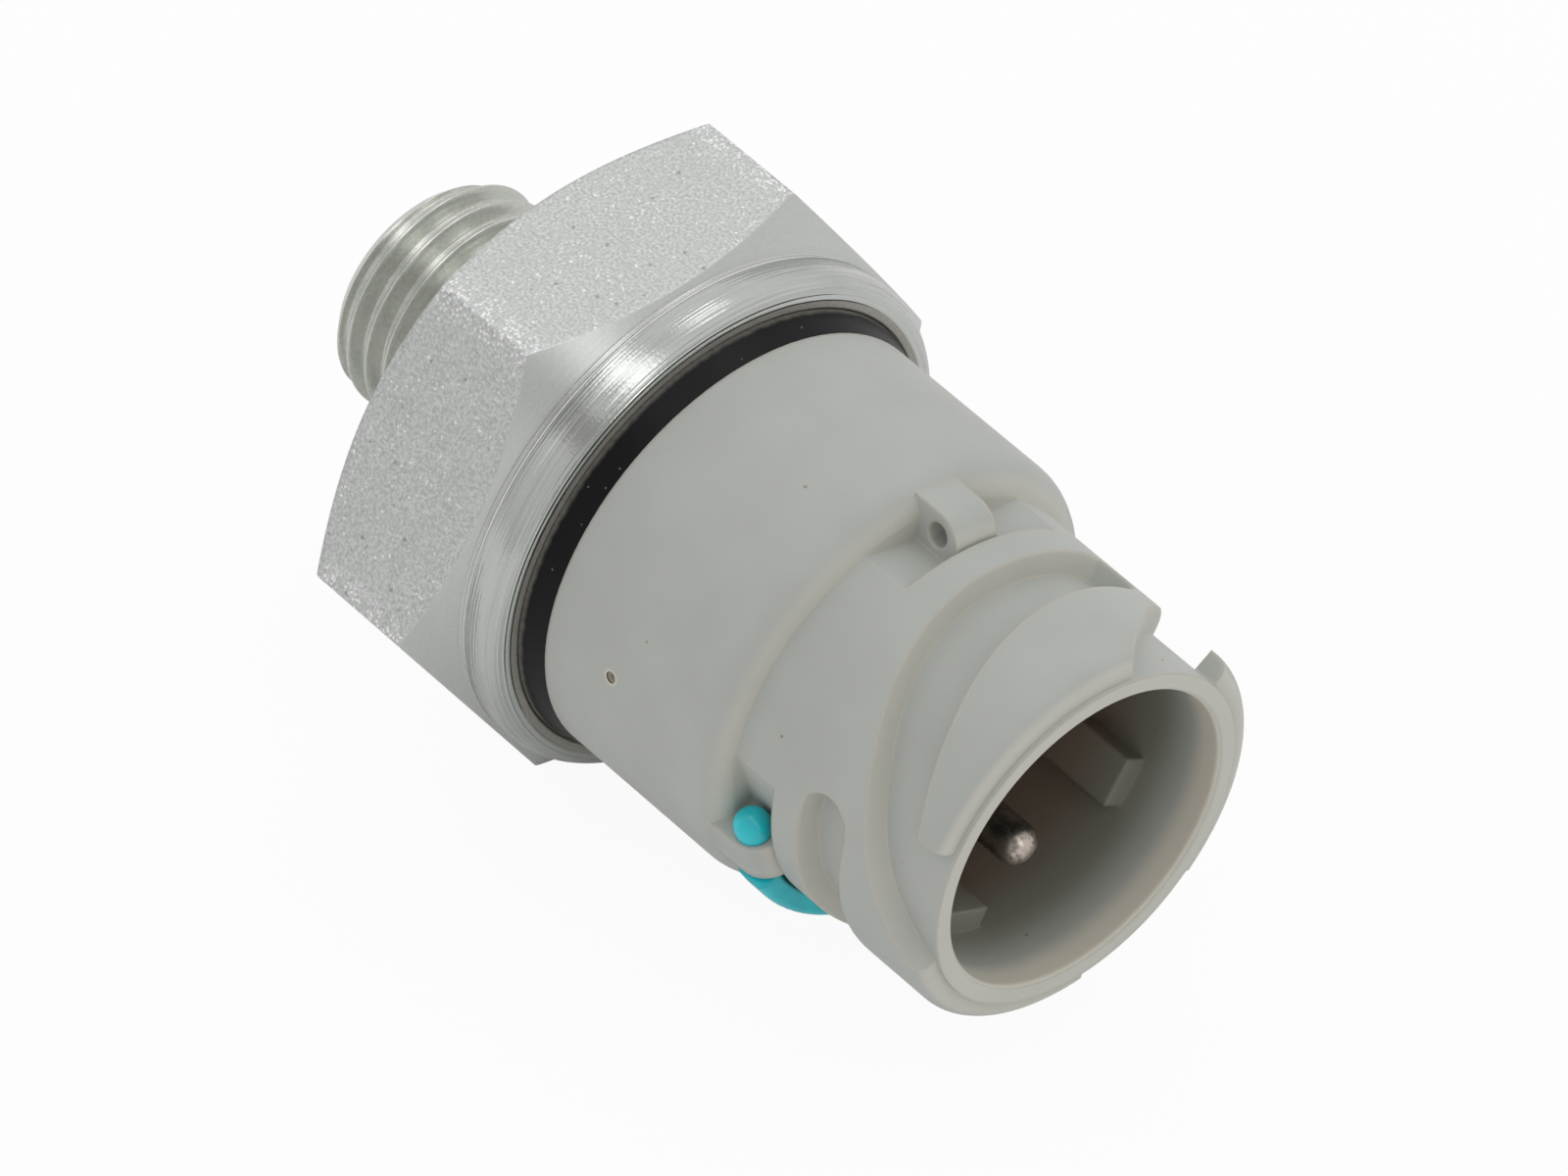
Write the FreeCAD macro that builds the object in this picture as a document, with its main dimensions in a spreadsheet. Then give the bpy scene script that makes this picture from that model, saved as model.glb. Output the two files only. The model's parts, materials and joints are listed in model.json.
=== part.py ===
"""Oil pressure sender: a steel port body with a hexagon, crimped over a moulded plug housing.

Millimetres. The sender lies on one flat of its hexagon. +X is the axis, from the thread to the plug
mouth, +Z is the outward normal of the upper flat, and the origin is on the axis, in the face that
seats on the engine. Angles about the axis are counted from +Y towards +Z.
"""
import FreeCAD, Part
import math
import os
import Sketcher

X_AXIS = FreeCAD.Vector(1, 0, 0)
TOP = 90.0
PIN_COUNT = 3
# Degrees from one point of a channel's wall to the next, and from one point of its round end to the next
CHANNEL_STEP = 5.0
ROUND_STEP = 22.5
# Turns a shape that was drawn round Z so that its axis is X and its zero angle is at +Y.
ALONG_X = FreeCAD.Rotation(FreeCAD.Vector(1, 1, 1), 120)

# Name, value and meaning of each size. A value in quotes is worked out from the sizes that it names.
SIZES = [
    # Port body
    ("hex_across_flats", 32.0, "spanner size"),
    ("hex_length", 10.6, "seating face to collar groove"),
    ("hex_corner_radius", 15.2, "where the corner chamfers start on both faces"),
    ("hex_chamfer_angle", 30.0, "slope of the corner chamfers"),
    ("thread_radius", 7.0, "M14 x 1.5, over the crests"),
    ("thread_length", 11.5, "seating face to thread end"),
    ("thread_chamfer", 1.1, "lead at the thread end"),
    ("relief_depth", 1.1, "undercut behind the thread, below the crests"),
    ("relief_radius", "=thread_radius - relief_depth", "undercut behind the thread"),
    ("relief_length", 2.0, "undercut behind the thread"),
    ("seat_recess_gap", 0.4, "recess in the seating face, outside the thread crests"),
    ("seat_recess_radius", "=thread_radius + seat_recess_gap", "recess in the seating face"),
    ("seat_recess_depth", 0.4, "recess in the seating face"),
    ("collar_radius", "=foot_radius + fit + collar_wall", "crimped collar, over the foot of the housing"),
    ("collar_groove_width", 0.35, "bending groove between hexagon and collar"),
    ("collar_groove_depth", 0.55, "below the collar"),
    ("collar_wall", 1.1, "turned wall that is rolled over"),
    ("collar_length", 2.7, "hexagon to the front of the rolled lip"),
    ("collar_end", "=hex_length + collar_length", "front of the rolled lip"),
    ("collar_round", 1.2, "outer radius of the rolled lip"),
    ("lip_thickness", 0.8, "rolled lip"),
    ("lip_gap", 0.5, "round housing to the rolled lip"),
    ("lip_radius", "=body_radius + lip_gap", "inner edge of the rolled lip"),
    ("seat_sink", 1.2, "front of the hexagon to the seat of the plug housing"),
    ("seat_depth", "=hex_length - seat_sink", "seat of the plug housing"),
    ("cup_step", 0.2, "pocket of the pressure cell, outside the housing's cavity"),
    ("cup_radius", "=cavity_radius + cup_step", "pocket of the pressure cell"),
    ("cup_depth", 5.4, "seat of the plug housing to the floor of that pocket"),
    ("cup_floor", "=seat_depth - cup_depth", "floor of that pocket"),
    ("port_radius", 2.6, "pressure port at the thread end"),
    ("port_step", -1.0, "where the port narrows"),
    ("port_throat_radius", 1.6, "port behind the step"),
    ("fit", 0.05, "clearance of pieces that are pushed in"),
    ("past", 1.0, "how far cutters reach past the metal, and joined forms into each other"),
    # Pieces in the port body
    ("plug_length", 4.0, "damping plug"),
    ("plug_bore_radius", 0.4, "damping plug"),
    ("ring_groove_depth", 0.5, "groove of the cell seal"),
    ("ring_inset", 2.8, "wall of the pocket to the middle of the cell seal's cord"),
    ("ring_centre_radius", "=cup_radius - ring_inset", "cell seal"),
    ("ring_cord_radius", 0.75, "cell seal"),
    ("backup_width", 1.05, "ring outside the cell seal"),
    ("backup_height", 1.4, "ring outside the cell seal"),
    ("cell_gap", 0.6, "round the ceramic pressure cell"),
    ("cell_radius", "=cup_radius - cell_gap", "ceramic pressure cell"),
    ("cell_thickness", 4.0, "ceramic pressure cell"),
    ("cell_recess_radius", 4.6, "pressure side recess"),
    ("cell_diaphragm", 0.8, "left over the recess"),
    ("clamp_height", 2.0, "ring that holds the cell down"),
    ("clamp_width", 1.9, "ring that holds the cell down"),
    ("carrier_height", 3.6, "board carrier under the board"),
    ("carrier_rim", 1.6, "board carrier beside the board"),
    ("carrier_wall", 1.7, "board carrier"),
    ("board_gap", 0.8, "cavity wall to the circuit board"),
    ("board_radius", "=cavity_radius - board_gap", "circuit board"),
    ("board_thickness", 1.2, "circuit board"),
    ("chip_side", 3.6, "signal chip"),
    ("chip_height", 0.9, "signal chip"),
    ("capacitor_length", 1.6, "one chip capacitor"),
    ("capacitor_width", 0.8, "one chip capacitor"),
    ("capacitor_pitch", 2.4, "one capacitor to the next"),
    ("capacitor_count", 4, "in a row across the board"),
    ("lead_radius", 0.25, "cell leads"),
    ("lead_circle", 5.6, "radius on which the leads stand"),
    ("lead_count", 4, "cell leads"),
    # Plug housing
    ("body_radius", 13.5, "round housing behind the plug"),
    ("seal_show", 1.6, "rolled lip to the front of the rubber seal"),
    ("body_start", "=collar_end + seal_show", "where the round housing comes out of the seal"),
    ("body_length", 13.3, "round housing in front of the seal"),
    ("shoulder", "=body_start + body_length", "end of the round housing"),
    ("shoulder_round", 2.0, "its outer edge"),
    ("foot_step", 1.05, "flange under the rolled lip, outside the round housing"),
    ("foot_radius", "=body_radius + foot_step", "flange under the rolled lip"),
    ("foot_height", 2.2, "flange under the rolled lip"),
    ("foot_top", "=seat_depth + foot_height", "front of that flange"),
    ("seal_groove_depth", 0.65, "below the round housing"),
    ("seal_groove_radius", "=body_radius - seal_groove_depth", "housing inside the seal"),
    ("cavity_radius", 9.4, "room for the board"),
    ("floor_thickness", 3.0, "plug floor, round the pins"),
    ("cavity_end", "=socket_floor - floor_thickness", "inner face of the plug floor"),
    ("neck_length", 3.15, "round housing to the bayonet flange"),
    ("flange_back", "=shoulder + neck_length", "rear edge of the bayonet flange"),
    ("ramp_height", 1.36, "bayonet flange and ramps, outside the tube"),
    ("flange_radius", "=tube_radius + ramp_height", "bayonet flange and ramps"),
    ("tube_wall", 1.11, "tube of the plug"),
    ("tube_radius", "=socket_radius + tube_wall", "tube of the plug, and axis to the flats behind it"),
    ("plug_reach", 14.8, "round housing to the plug mouth"),
    ("mouth", "=shoulder + plug_reach", "plug mouth"),
    ("ramp_setback", 0.3, "plug mouth to the front of the bayonet ramps"),
    ("ramp_front", "=mouth - ramp_setback", "front of the bayonet ramps"),
    ("ramp_round", 0.9, "front edge of the bayonet ramps"),
    ("socket_radius", 9.36, "inside of the plug"),
    ("socket_sink", 0.2, "floor of the plug, below the end of the round housing"),
    ("socket_floor", "=shoulder - socket_sink", "inside of the plug"),
    ("mouth_round", 0.3, "inner edge of the mouth"),
    ("gate_angle", 167.2, "mark of the moulding gate"),
    ("gate_step", 5.06, "rubber seal to the mark of the moulding gate"),
    ("gate_place", "=body_start + gate_step", "mark of the moulding gate"),
    ("gate_radius", 0.32, "mark of the moulding gate"),
    ("gate_depth", 0.5, "mark of the moulding gate"),
    # Bayonet channels, with angles counted from their closed ends
    ("bayonet_count", 3, "ramps, channels, lugs and flats"),
    ("channel_angle", 37.7, "closed end of the first channel"),
    ("flange_thickness", 2.0, "bayonet flange behind the level part of a channel"),
    ("channel_rear", "=flange_back + flange_thickness", "rear wall where it runs level"),
    ("channel_rear_bend_start", 44.3, "degrees"),
    ("channel_rear_bend_end", 92.3, "degrees"),
    ("channel_rear_slope", 0.086, "mm along the axis for each degree"),
    ("channel_flare_start", 124.3, "degrees, where the entry opens"),
    ("channel_flare", 0.0017, "mm for each squared degree"),
    ("channel_rear_draft", 0.26, "lean of the rear wall"),
    ("channel_width", 3.45, "level part of a channel"),
    ("channel_front", "=channel_rear + channel_width", "front wall where it runs level"),
    ("channel_front_bend_start", 24.3, "degrees"),
    ("channel_front_bend_end", 79.3, "degrees"),
    ("channel_front_slope", 0.0724, "mm along the axis for each degree"),
    ("channel_entry_angle", 112.8, "end of the ramp beside the entry"),
    # Lugs on the flats
    ("lug_angle", 75.0, "first flat with its lug"),
    ("lug_lead", 1.9, "lug on one side of the middle of its flat"),
    ("lug_trail", 1.0, "lug on the other side"),
    ("lug_rise", 2.48, "flat to the top of a lug"),
    ("lug_height", "=tube_radius + lug_rise", "axis to the top of a lug"),
    ("lug_length", 3.0, "round housing to the front face of a lug"),
    ("lug_front", "=shoulder + lug_length", "front face of a lug"),
    ("lug_round", 1.8, "front edge of a lug"),
    ("lug_hole_radius", 0.72, "hole along a lug"),
    ("lug_hole_rise", 1.18, "flat to the hole"),
    ("lug_hole_height", "=tube_radius + lug_hole_rise", "axis to the hole"),
    ("lug_hole_step", 1.45, "round housing to the hole"),
    ("lug_hole_place", "=shoulder + lug_hole_step", "place of the hole along the axis"),
    # Keys in the socket
    ("key_angle_1", 326.0, "first key"),
    ("key_angle_2", 242.0, "second key"),
    ("key_width", 3.0, "both keys"),
    ("key_height", 1.4, "both keys"),
    ("key_radius", "=socket_radius - key_height", "axis to the crest of a key"),
    ("key_length", 10.0, "floor of the plug to the front end of a key"),
    ("key_end", "=socket_floor + key_length", "front end of a key"),
    # Contacts
    ("pin_radius", 1.25, "contact pins"),
    ("pin_circle", 4.19, "axis to the pins"),
    ("pin_angle", 84.0, "first pin"),
    ("pin_step", 90.0, "one pin to the next"),
    ("pin_reach", 10.0, "floor of the plug to the front end of a pin"),
    ("pin_tip", "=socket_floor + pin_reach", "front end"),
    ("pin_root", 4.0, "inner face of the plug floor to the rear end of a pin"),
    ("pin_tail", "=cavity_end - pin_root", "rear end"),
    ("pin_round", 1.1, "rounding of the tip"),
    ("spring_thickness", 0.3, "contact springs"),
    ("spring_width", 1.4, "contact springs"),
    ("spring_length", 2.4, "contact springs"),
    # Colour clip
    ("clip_gap", 0.12, "between the flange's radius and the band"),
    ("clip_inner_radius", "=flange_radius + clip_gap", "band of the clip"),
    ("clip_thickness", 1.3, "band of the clip"),
    ("clip_outer_radius", "=clip_inner_radius + clip_thickness", "band of the clip"),
    ("clip_step", 0.5, "round housing to the band"),
    ("clip_back", "=shoulder + clip_step", "rear edge of the band"),
    ("clip_width", 2.2, "band of the clip"),
    ("clip_front", "=clip_back + clip_width", "front edge of the band"),
    ("clip_round", 0.5, "outer edges of the band"),
    ("clip_start_gap", 9.5, "degrees from the first flat's middle to the band"),
    ("clip_end_gap", 8.0, "degrees from the band to the last flat's middle"),
    ("clip_pin_radius", 0.68, "pins of the clip in the lug holes"),
    ("clip_pin_reach", 5.0, "from the middle of the flat into the band"),
    ("clip_head_radius", 1.05, "head on the free end"),
    ("clip_head_length", 1.5, "head on the free end"),
    ("clip_tail", 0.8, "free end of the other pin"),
]


class Size:
    """A number together with the sheet expression that gives it."""

    def __init__(self, value, text):
        self.value = value
        self.text = text

    def __add__(self, other):
        other = as_size(other)
        return Size(self.value + other.value, f"({self.text} + {other.text})")

    def __sub__(self, other):
        other = as_size(other)
        return Size(self.value - other.value, f"({self.text} - {other.text})")

    def __mul__(self, other):
        other = as_size(other)
        return Size(self.value * other.value, f"({self.text} * {other.text})")

    def __truediv__(self, other):
        other = as_size(other)
        return Size(self.value / other.value, f"({self.text} / {other.text})")

    def __neg__(self):
        return Size(-self.value, f"(0 - {self.text})")


def as_size(number):
    return number if isinstance(number, Size) else Size(float(number), f"{number:g}")


class Sheet:
    """The spreadsheet of sizes, read as attributes that carry their expressions."""

    def __init__(self, doc):
        self.sheet = doc.addObject("Spreadsheet::Sheet", "sizes")
        for row, (name, value, meaning) in enumerate(SIZES, start=1):
            self.sheet.set(f"A{row}", name)
            self.sheet.set(f"C{row}", meaning)
            self.sheet.setAlias(f"B{row}", name)
        for row, (name, value, meaning) in enumerate(SIZES, start=1):
            self.sheet.set(f"B{row}", value if isinstance(value, str) else f"{value:g}")
        doc.recompute()
        for name, value, meaning in SIZES:
            setattr(self, name, Size(float(self.sheet.get(name)), f"sizes.{name}"))


def tangent(angle):
    """Tangent of an angle in degrees."""
    return Size(math.tan(math.radians(angle.value)), f"tan({angle.text} * 1deg)")


def plane(body, role):
    """The body's own origin plane of that name."""
    return next(f for f in body.Origin.OriginFeatures if f.Role == role)


def bind(thing, path, size):
    thing.setExpression(path, as_size(size).text)


def new_sketch(body, name, role, offset=None, turn=None):
    """A sketch on an origin plane, moved along its normal and turned about its local x axis."""
    sketch = body.newObject("Sketcher::SketchObject", name)
    sketch.AttachmentSupport = [(plane(body, role), "")]
    sketch.MapMode = "FlatFace"
    base = FreeCAD.Vector(0, 0, as_size(offset or 0).value)
    turn_value = as_size(turn or 0).value
    sketch.AttachmentOffset = FreeCAD.Placement(base, FreeCAD.Rotation(X_AXIS, turn_value))
    if offset is not None:
        bind(sketch, "AttachmentOffset.Base.z", offset)
    if turn is not None:
        bind(sketch, "AttachmentOffset.Rotation.Angle", turn)
    return sketch


def hold_point(sketch, line, x, y):
    """Tie the start of a line to two sizes, measured from the sketch origin."""
    for kind, size, axis in (("DistanceX", as_size(x), -2), ("DistanceY", as_size(y), -1)):
        if abs(size.value) < 1e-9:
            sketch.addConstraint(Sketcher.Constraint("PointOnObject", line, 1, axis))
            continue
        if size.value > 0:
            index = sketch.addConstraint(Sketcher.Constraint(kind, -1, 1, line, 1, size.value))
        else:
            size = -size
            index = sketch.addConstraint(Sketcher.Constraint(kind, line, 1, -1, 1, size.value))
        bind(sketch, f"Constraints[{index}]", size)


def outline(sketch, corners):
    """Closed outline with one straight line from each corner to the next."""
    first = sketch.GeometryCount
    points = [FreeCAD.Vector(as_size(x).value, as_size(y).value, 0) for x, y in corners]
    count = len(points)
    for i in range(count):
        sketch.addGeometry(Part.LineSegment(points[i], points[(i + 1) % count]), False)
    for i in range(count):
        line, following = first + i, first + (i + 1) % count
        sketch.addConstraint(Sketcher.Constraint("Coincident", line, 2, following, 1))
    for i, (x, y) in enumerate(corners):
        hold_point(sketch, first + i, x, y)
    return sketch


def circle(sketch, x, y, radius):
    """Circle with its centre held by two sizes."""
    x, y, radius = as_size(x), as_size(y), as_size(radius)
    geometry = Part.Circle(FreeCAD.Vector(x.value, y.value, 0), FreeCAD.Vector(0, 0, 1), radius.value)
    index = sketch.addGeometry(geometry, False)
    rim = sketch.addConstraint(Sketcher.Constraint("Radius", index, radius.value))
    bind(sketch, f"Constraints[{rim}]", radius)
    for kind, size, axis in (("DistanceX", x, -2), ("DistanceY", y, -1)):
        if abs(size.value) < 1e-9:
            sketch.addConstraint(Sketcher.Constraint("PointOnObject", index, 3, axis))
            continue
        if size.value > 0:
            held = sketch.addConstraint(Sketcher.Constraint(kind, -1, 1, index, 3, size.value))
        else:
            size = -size
            held = sketch.addConstraint(Sketcher.Constraint(kind, index, 3, -1, 1, size.value))
        bind(sketch, f"Constraints[{held}]", size)
    return sketch


def turn_profile(body, name, kind, corners):
    """Revolution or Groove of an (x, radius) outline round the X axis."""
    sketch = outline(new_sketch(body, f"{name}_profile", "XY_Plane"), corners)
    feature = body.newObject(f"PartDesign::{kind}", name)
    feature.Profile = sketch
    feature.ReferenceAxis = (sketch, ["H_Axis"])
    feature.Angle = 360.0
    sketch.Visibility = False
    return feature


def extrude(body, name, kind, sketch, length, both_sides=False, backwards=False):
    """Pad or Pocket of a sketch, with its length held by a size."""
    feature = body.newObject(f"PartDesign::{kind}", name)
    feature.Profile = sketch
    feature.Length = as_size(length).value
    bind(feature, "Length", length)
    feature.Midplane = both_sides
    feature.Reversed = backwards
    sketch.Visibility = False
    return feature


def round_edges(doc, body, name, wanted, radius):
    """Fillet of the edges of the body's last feature that a test picks out."""
    doc.recompute()
    base = body.Tip
    names = [f"Edge{i + 1}" for i, edge in enumerate(base.Shape.Edges) if wanted(edge)]
    if not names:
        raise RuntimeError(f"{name}: no edge found")
    fillet = body.newObject("PartDesign::Fillet", name)
    fillet.Base = (base, names)
    fillet.Radius = as_size(radius).value
    bind(fillet, "Radius", radius)
    return fillet


def ring_edge(x, radius):
    """Test for a full circle round the X axis at one place."""
    def test(edge):
        curve = edge.Curve
        if curve.TypeId != "Part::GeomCircle" or abs(curve.Radius - radius.value) > 1e-4:
            return False
        return abs(curve.Center.x - x.value) < 1e-4 and math.hypot(curve.Center.y, curve.Center.z) < 1e-4
    return test


def polar(doc, body, name, features, count):
    """Repeat features evenly round the X axis."""
    doc.recompute()
    axis = next(f for f in body.Origin.OriginFeatures if f.Role == "X_Axis")
    pattern = body.newObject("PartDesign::PolarPattern", name)
    pattern.Originals = features
    pattern.Axis = (axis, [""])
    pattern.Angle = 360.0
    pattern.Occurrences = int(count.value)
    bind(pattern, "Occurrences", count)
    body.Tip = pattern
    return pattern


def new_body(doc, label):
    body = doc.addObject("PartDesign::Body", label)
    body.Label = label
    return body


def turned_part(doc, label, corners):
    """A plain turned piece from one (x, radius) outline."""
    body = new_body(doc, label)
    turn_profile(body, f"{label}_form", "Revolution", corners)
    return body


def rotate_about_axis(thing, angle):
    """Turn a finished piece about the sender's axis."""
    angle = as_size(angle)
    thing.Placement = FreeCAD.Placement(FreeCAD.Vector(), FreeCAD.Rotation(X_AXIS, angle.value))
    bind(thing, "Placement.Rotation.Angle", angle)


def make_port_body(doc, s):
    """Hexagon, threaded shank, crimped collar, pressure port and cell pocket, in one turned piece."""
    body = new_body(doc, "port_body")
    half = s.hex_across_flats / 2
    hexagon = new_sketch(body, "hexagon", "YZ_Plane")
    corner = half / Size(math.cos(math.radians(30)), "cos(30deg)")
    side = half * Size(math.tan(math.radians(30)), "tan(30deg)")
    outline(hexagon, [(side, half), (-side, half), (-corner, 0), (-side, -half), (side, -half), (corner, 0)])
    extrude(body, "hexagon_bar", "Pad", hexagon, s.hex_length)
    outer = corner + s.past
    drop = (outer - s.hex_corner_radius) * tangent(s.hex_chamfer_angle)
    turn_profile(body, "rear_chamfer", "Groove",
                 [(-s.past, s.hex_corner_radius), (0, s.hex_corner_radius), (drop, outer), (-s.past, outer)])
    turn_profile(body, "front_chamfer", "Groove",
                 [(s.hex_length + s.past, s.hex_corner_radius), (s.hex_length, s.hex_corner_radius),
                  (s.hex_length - drop, outer), (s.hex_length + s.past, outer)])
    groove_radius = s.collar_radius - s.collar_groove_depth
    groove_end = s.hex_length + s.collar_groove_width
    inside = s.cup_floor / 2
    slope_end = s.thread_radius - s.relief_radius - s.relief_length
    turn_profile(body, "shank", "Revolution",
                 [(inside, 0), (-s.thread_length, 0), (-s.thread_length, s.thread_radius - s.thread_chamfer),
                  (s.thread_chamfer - s.thread_length, s.thread_radius), (-s.relief_length, s.thread_radius),
                  (slope_end, s.relief_radius), (inside, s.relief_radius)])
    turn_profile(body, "seat_recess", "Groove",
                 [(slope_end / 2, s.relief_radius), (slope_end / 2, s.seat_recess_radius),
                  (s.seat_recess_depth, s.seat_recess_radius), (s.seat_recess_depth, s.relief_radius)])
    turn_profile(body, "collar", "Revolution",
                 [(s.seat_depth, s.cup_radius), (s.seat_depth, groove_radius), (groove_end, groove_radius),
                  (groove_end, s.collar_radius), (s.collar_end, s.collar_radius),
                  (s.collar_end, s.cup_radius)])
    round_edges(doc, body, "lip_round", ring_edge(s.collar_end, s.collar_radius), s.collar_round)
    bore = s.collar_radius - s.collar_wall
    lip_back = s.collar_end - s.lip_thickness
    port_end = -s.thread_length - s.past
    groove_floor = s.cup_floor - s.ring_groove_depth
    groove_inner = s.ring_centre_radius - s.ring_cord_radius - s.fit * 2
    groove_outer = s.ring_centre_radius + s.ring_cord_radius + s.fit * 2 + s.backup_width
    turn_profile(body, "pocket", "Groove",
                 [(port_end, 0), (port_end, s.port_radius), (s.port_step, s.port_radius),
                  (s.port_step, s.port_throat_radius), (s.cup_floor, s.port_throat_radius),
                  (s.cup_floor, groove_inner), (groove_floor, groove_inner), (groove_floor, groove_outer),
                  (s.cup_floor, groove_outer), (s.cup_floor, s.cup_radius), (s.seat_depth, s.cup_radius),
                  (s.seat_depth, bore), (lip_back, bore), (lip_back, s.lip_radius),
                  (s.collar_end + s.past, s.lip_radius), (s.collar_end + s.past, 0)])
    return body


def make_damping_plug(doc, s):
    """Pressed plug with a fine bore that calms the pressure."""
    end = s.port_step
    start = end - s.plug_length
    radius = s.port_radius - s.fit
    return turned_part(doc, "damping_plug",
                       [(start, s.plug_bore_radius), (end, s.plug_bore_radius), (end, radius),
                        (start, radius)])


def make_cell_seal(doc, s):
    """Round rubber ring under the pressure cell."""
    body = new_body(doc, "cell_seal")
    sketch = new_sketch(body, "cord", "XY_Plane")
    centre = s.cup_floor - s.ring_groove_depth + s.ring_cord_radius
    circle(sketch, centre, s.ring_centre_radius, s.ring_cord_radius)
    ring = body.newObject("PartDesign::Revolution", "ring")
    ring.Profile = sketch
    ring.ReferenceAxis = (sketch, ["H_Axis"])
    ring.Angle = 360.0
    return body


def make_backup_ring(doc, s):
    """Plain ring that keeps the rubber ring in place."""
    floor = s.cup_floor - s.ring_groove_depth
    inner = s.ring_centre_radius + s.ring_cord_radius + s.fit
    return turned_part(doc, "backup_ring",
                       [(floor, inner), (floor + s.backup_height, inner),
                        (floor + s.backup_height, inner + s.backup_width), (floor, inner + s.backup_width)])


def cell_rear(s):
    return s.cup_floor - s.ring_groove_depth + s.ring_cord_radius * 2


def cell_front(s):
    return cell_rear(s) + s.cell_thickness


def clamp_front(s):
    return cell_front(s) + s.clamp_height


def board_rear(s):
    return clamp_front(s) + s.carrier_height


def board_front(s):
    return board_rear(s) + s.board_thickness


def make_pressure_cell(doc, s):
    """Ceramic disc with a thin diaphragm over its recess."""
    rear = cell_rear(s)
    front = cell_front(s)
    return turned_part(doc, "pressure_cell",
                       [(front, 0), (front - s.cell_diaphragm, 0),
                        (front - s.cell_diaphragm, s.cell_recess_radius), (rear, s.cell_recess_radius),
                        (rear, s.cell_radius), (front, s.cell_radius)])


def make_clamp_ring(doc, s):
    """Ring between the pressure cell and the board carrier."""
    radius = s.cavity_radius - s.fit * 2
    rear, front = cell_front(s), clamp_front(s)
    return turned_part(doc, "clamp_ring",
                       [(rear, radius - s.clamp_width), (front, radius - s.clamp_width), (front, radius),
                        (rear, radius)])


def make_board_carrier(doc, s):
    """Cup that holds the circuit board by its edge."""
    rear, seat = clamp_front(s), board_rear(s)
    rim = board_front(s) + s.carrier_rim - s.board_thickness
    radius = s.cavity_radius - s.fit * 2
    return turned_part(doc, "board_carrier",
                       [(rear, radius - s.carrier_wall), (seat, radius - s.carrier_wall),
                        (seat, s.board_radius + s.fit), (rim, s.board_radius + s.fit), (rim, radius),
                        (rear, radius)])


def make_circuit_board(doc, s):
    """Round circuit board."""
    rear, front = board_rear(s), board_front(s)
    profile = [(rear, 0), (front, 0), (front, s.board_radius), (rear, s.board_radius)]
    return turned_part(doc, "circuit_board", profile)


def box_at(doc, name, x, y, z, length, width, height):
    """Box from its lowest corner, every number held by the sheet."""
    box = doc.addObject("Part::Box", name)
    for path, size in (("Length", length), ("Width", width), ("Height", height), ("Placement.Base.x", x),
                       ("Placement.Base.y", y), ("Placement.Base.z", z)):
        bind(box, path, size)
    return box


def make_signal_chip(doc, s):
    """Signal chip on the front of the board, in the place without a pin."""
    chip = box_at(doc, "signal_chip", board_front(s), s.pin_circle - s.chip_side / 2, -s.chip_side / 2,
                  s.chip_height, s.chip_side, s.chip_side)
    chip.Label = "signal_chip"
    return chip


def make_capacitors(doc, s):
    """Row of chip capacitors across the rear of the board."""
    pitch = s.capacitor_pitch
    count = s.capacitor_count
    boxes = []
    for i in range(int(count.value)):
        y = pitch * i - pitch * (count - 1) / 2 - s.capacitor_width / 2
        boxes.append(box_at(doc, f"capacitor_{i + 1}", board_rear(s) - s.capacitor_width, y,
                            -s.capacitor_length / 2, s.capacitor_width, s.capacitor_width,
                            s.capacitor_length))
    group = doc.addObject("Part::Compound", "board_capacitors")
    group.Links = boxes
    group.Label = "board_capacitors"
    return group


def make_cell_leads(doc, s):
    """Straight leads from the pressure cell to the board."""
    leads = []
    for i in range(int(s.lead_count.value)):
        lead = doc.addObject("Part::Cylinder", f"cell_lead_{i + 1}")
        bind(lead, "Radius", s.lead_radius)
        bind(lead, "Height", board_rear(s) - cell_front(s))
        turn = (i + 0.5) * 360.0 / s.lead_count.value
        lead.Placement.Rotation = FreeCAD.Rotation(FreeCAD.Vector(0, 1, 0), 90)
        angle = f"({i} + 0.5) * 360deg / {s.lead_count.text}"
        bind(lead, "Placement.Base.x", cell_front(s))
        bind(lead, "Placement.Base.y",
             s.lead_circle * Size(math.cos(math.radians(turn)), f"cos({angle})"))
        bind(lead, "Placement.Base.z",
             s.lead_circle * Size(math.sin(math.radians(turn)), f"sin({angle})"))
        leads.append(lead)
    group = doc.addObject("Part::Compound", "cell_leads")
    group.Links = leads
    group.Label = "cell_leads"
    return group


def pin_angle(s, i):
    return s.pin_angle + s.pin_step * i


def make_contact_pin(doc, s, i):
    """Round contact pin with a rounded tip, through the floor of the plug."""
    label = f"contact_pin_{i + 1}"
    body = new_body(doc, label)
    sketch = circle(new_sketch(body, f"{label}_section", "YZ_Plane", offset=s.pin_tail), 0, s.pin_circle,
                    s.pin_radius)
    extrude(body, f"{label}_rod", "Pad", sketch, s.pin_tip - s.pin_tail)

    def tip(edge):
        return edge.Curve.TypeId == "Part::GeomCircle" and edge.BoundBox.XMin > s.pin_tip.value - 1e-4

    round_edges(doc, body, f"{label}_tip", tip, s.pin_round)
    rotate_about_axis(body, pin_angle(s, i) - TOP)
    return body


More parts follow.
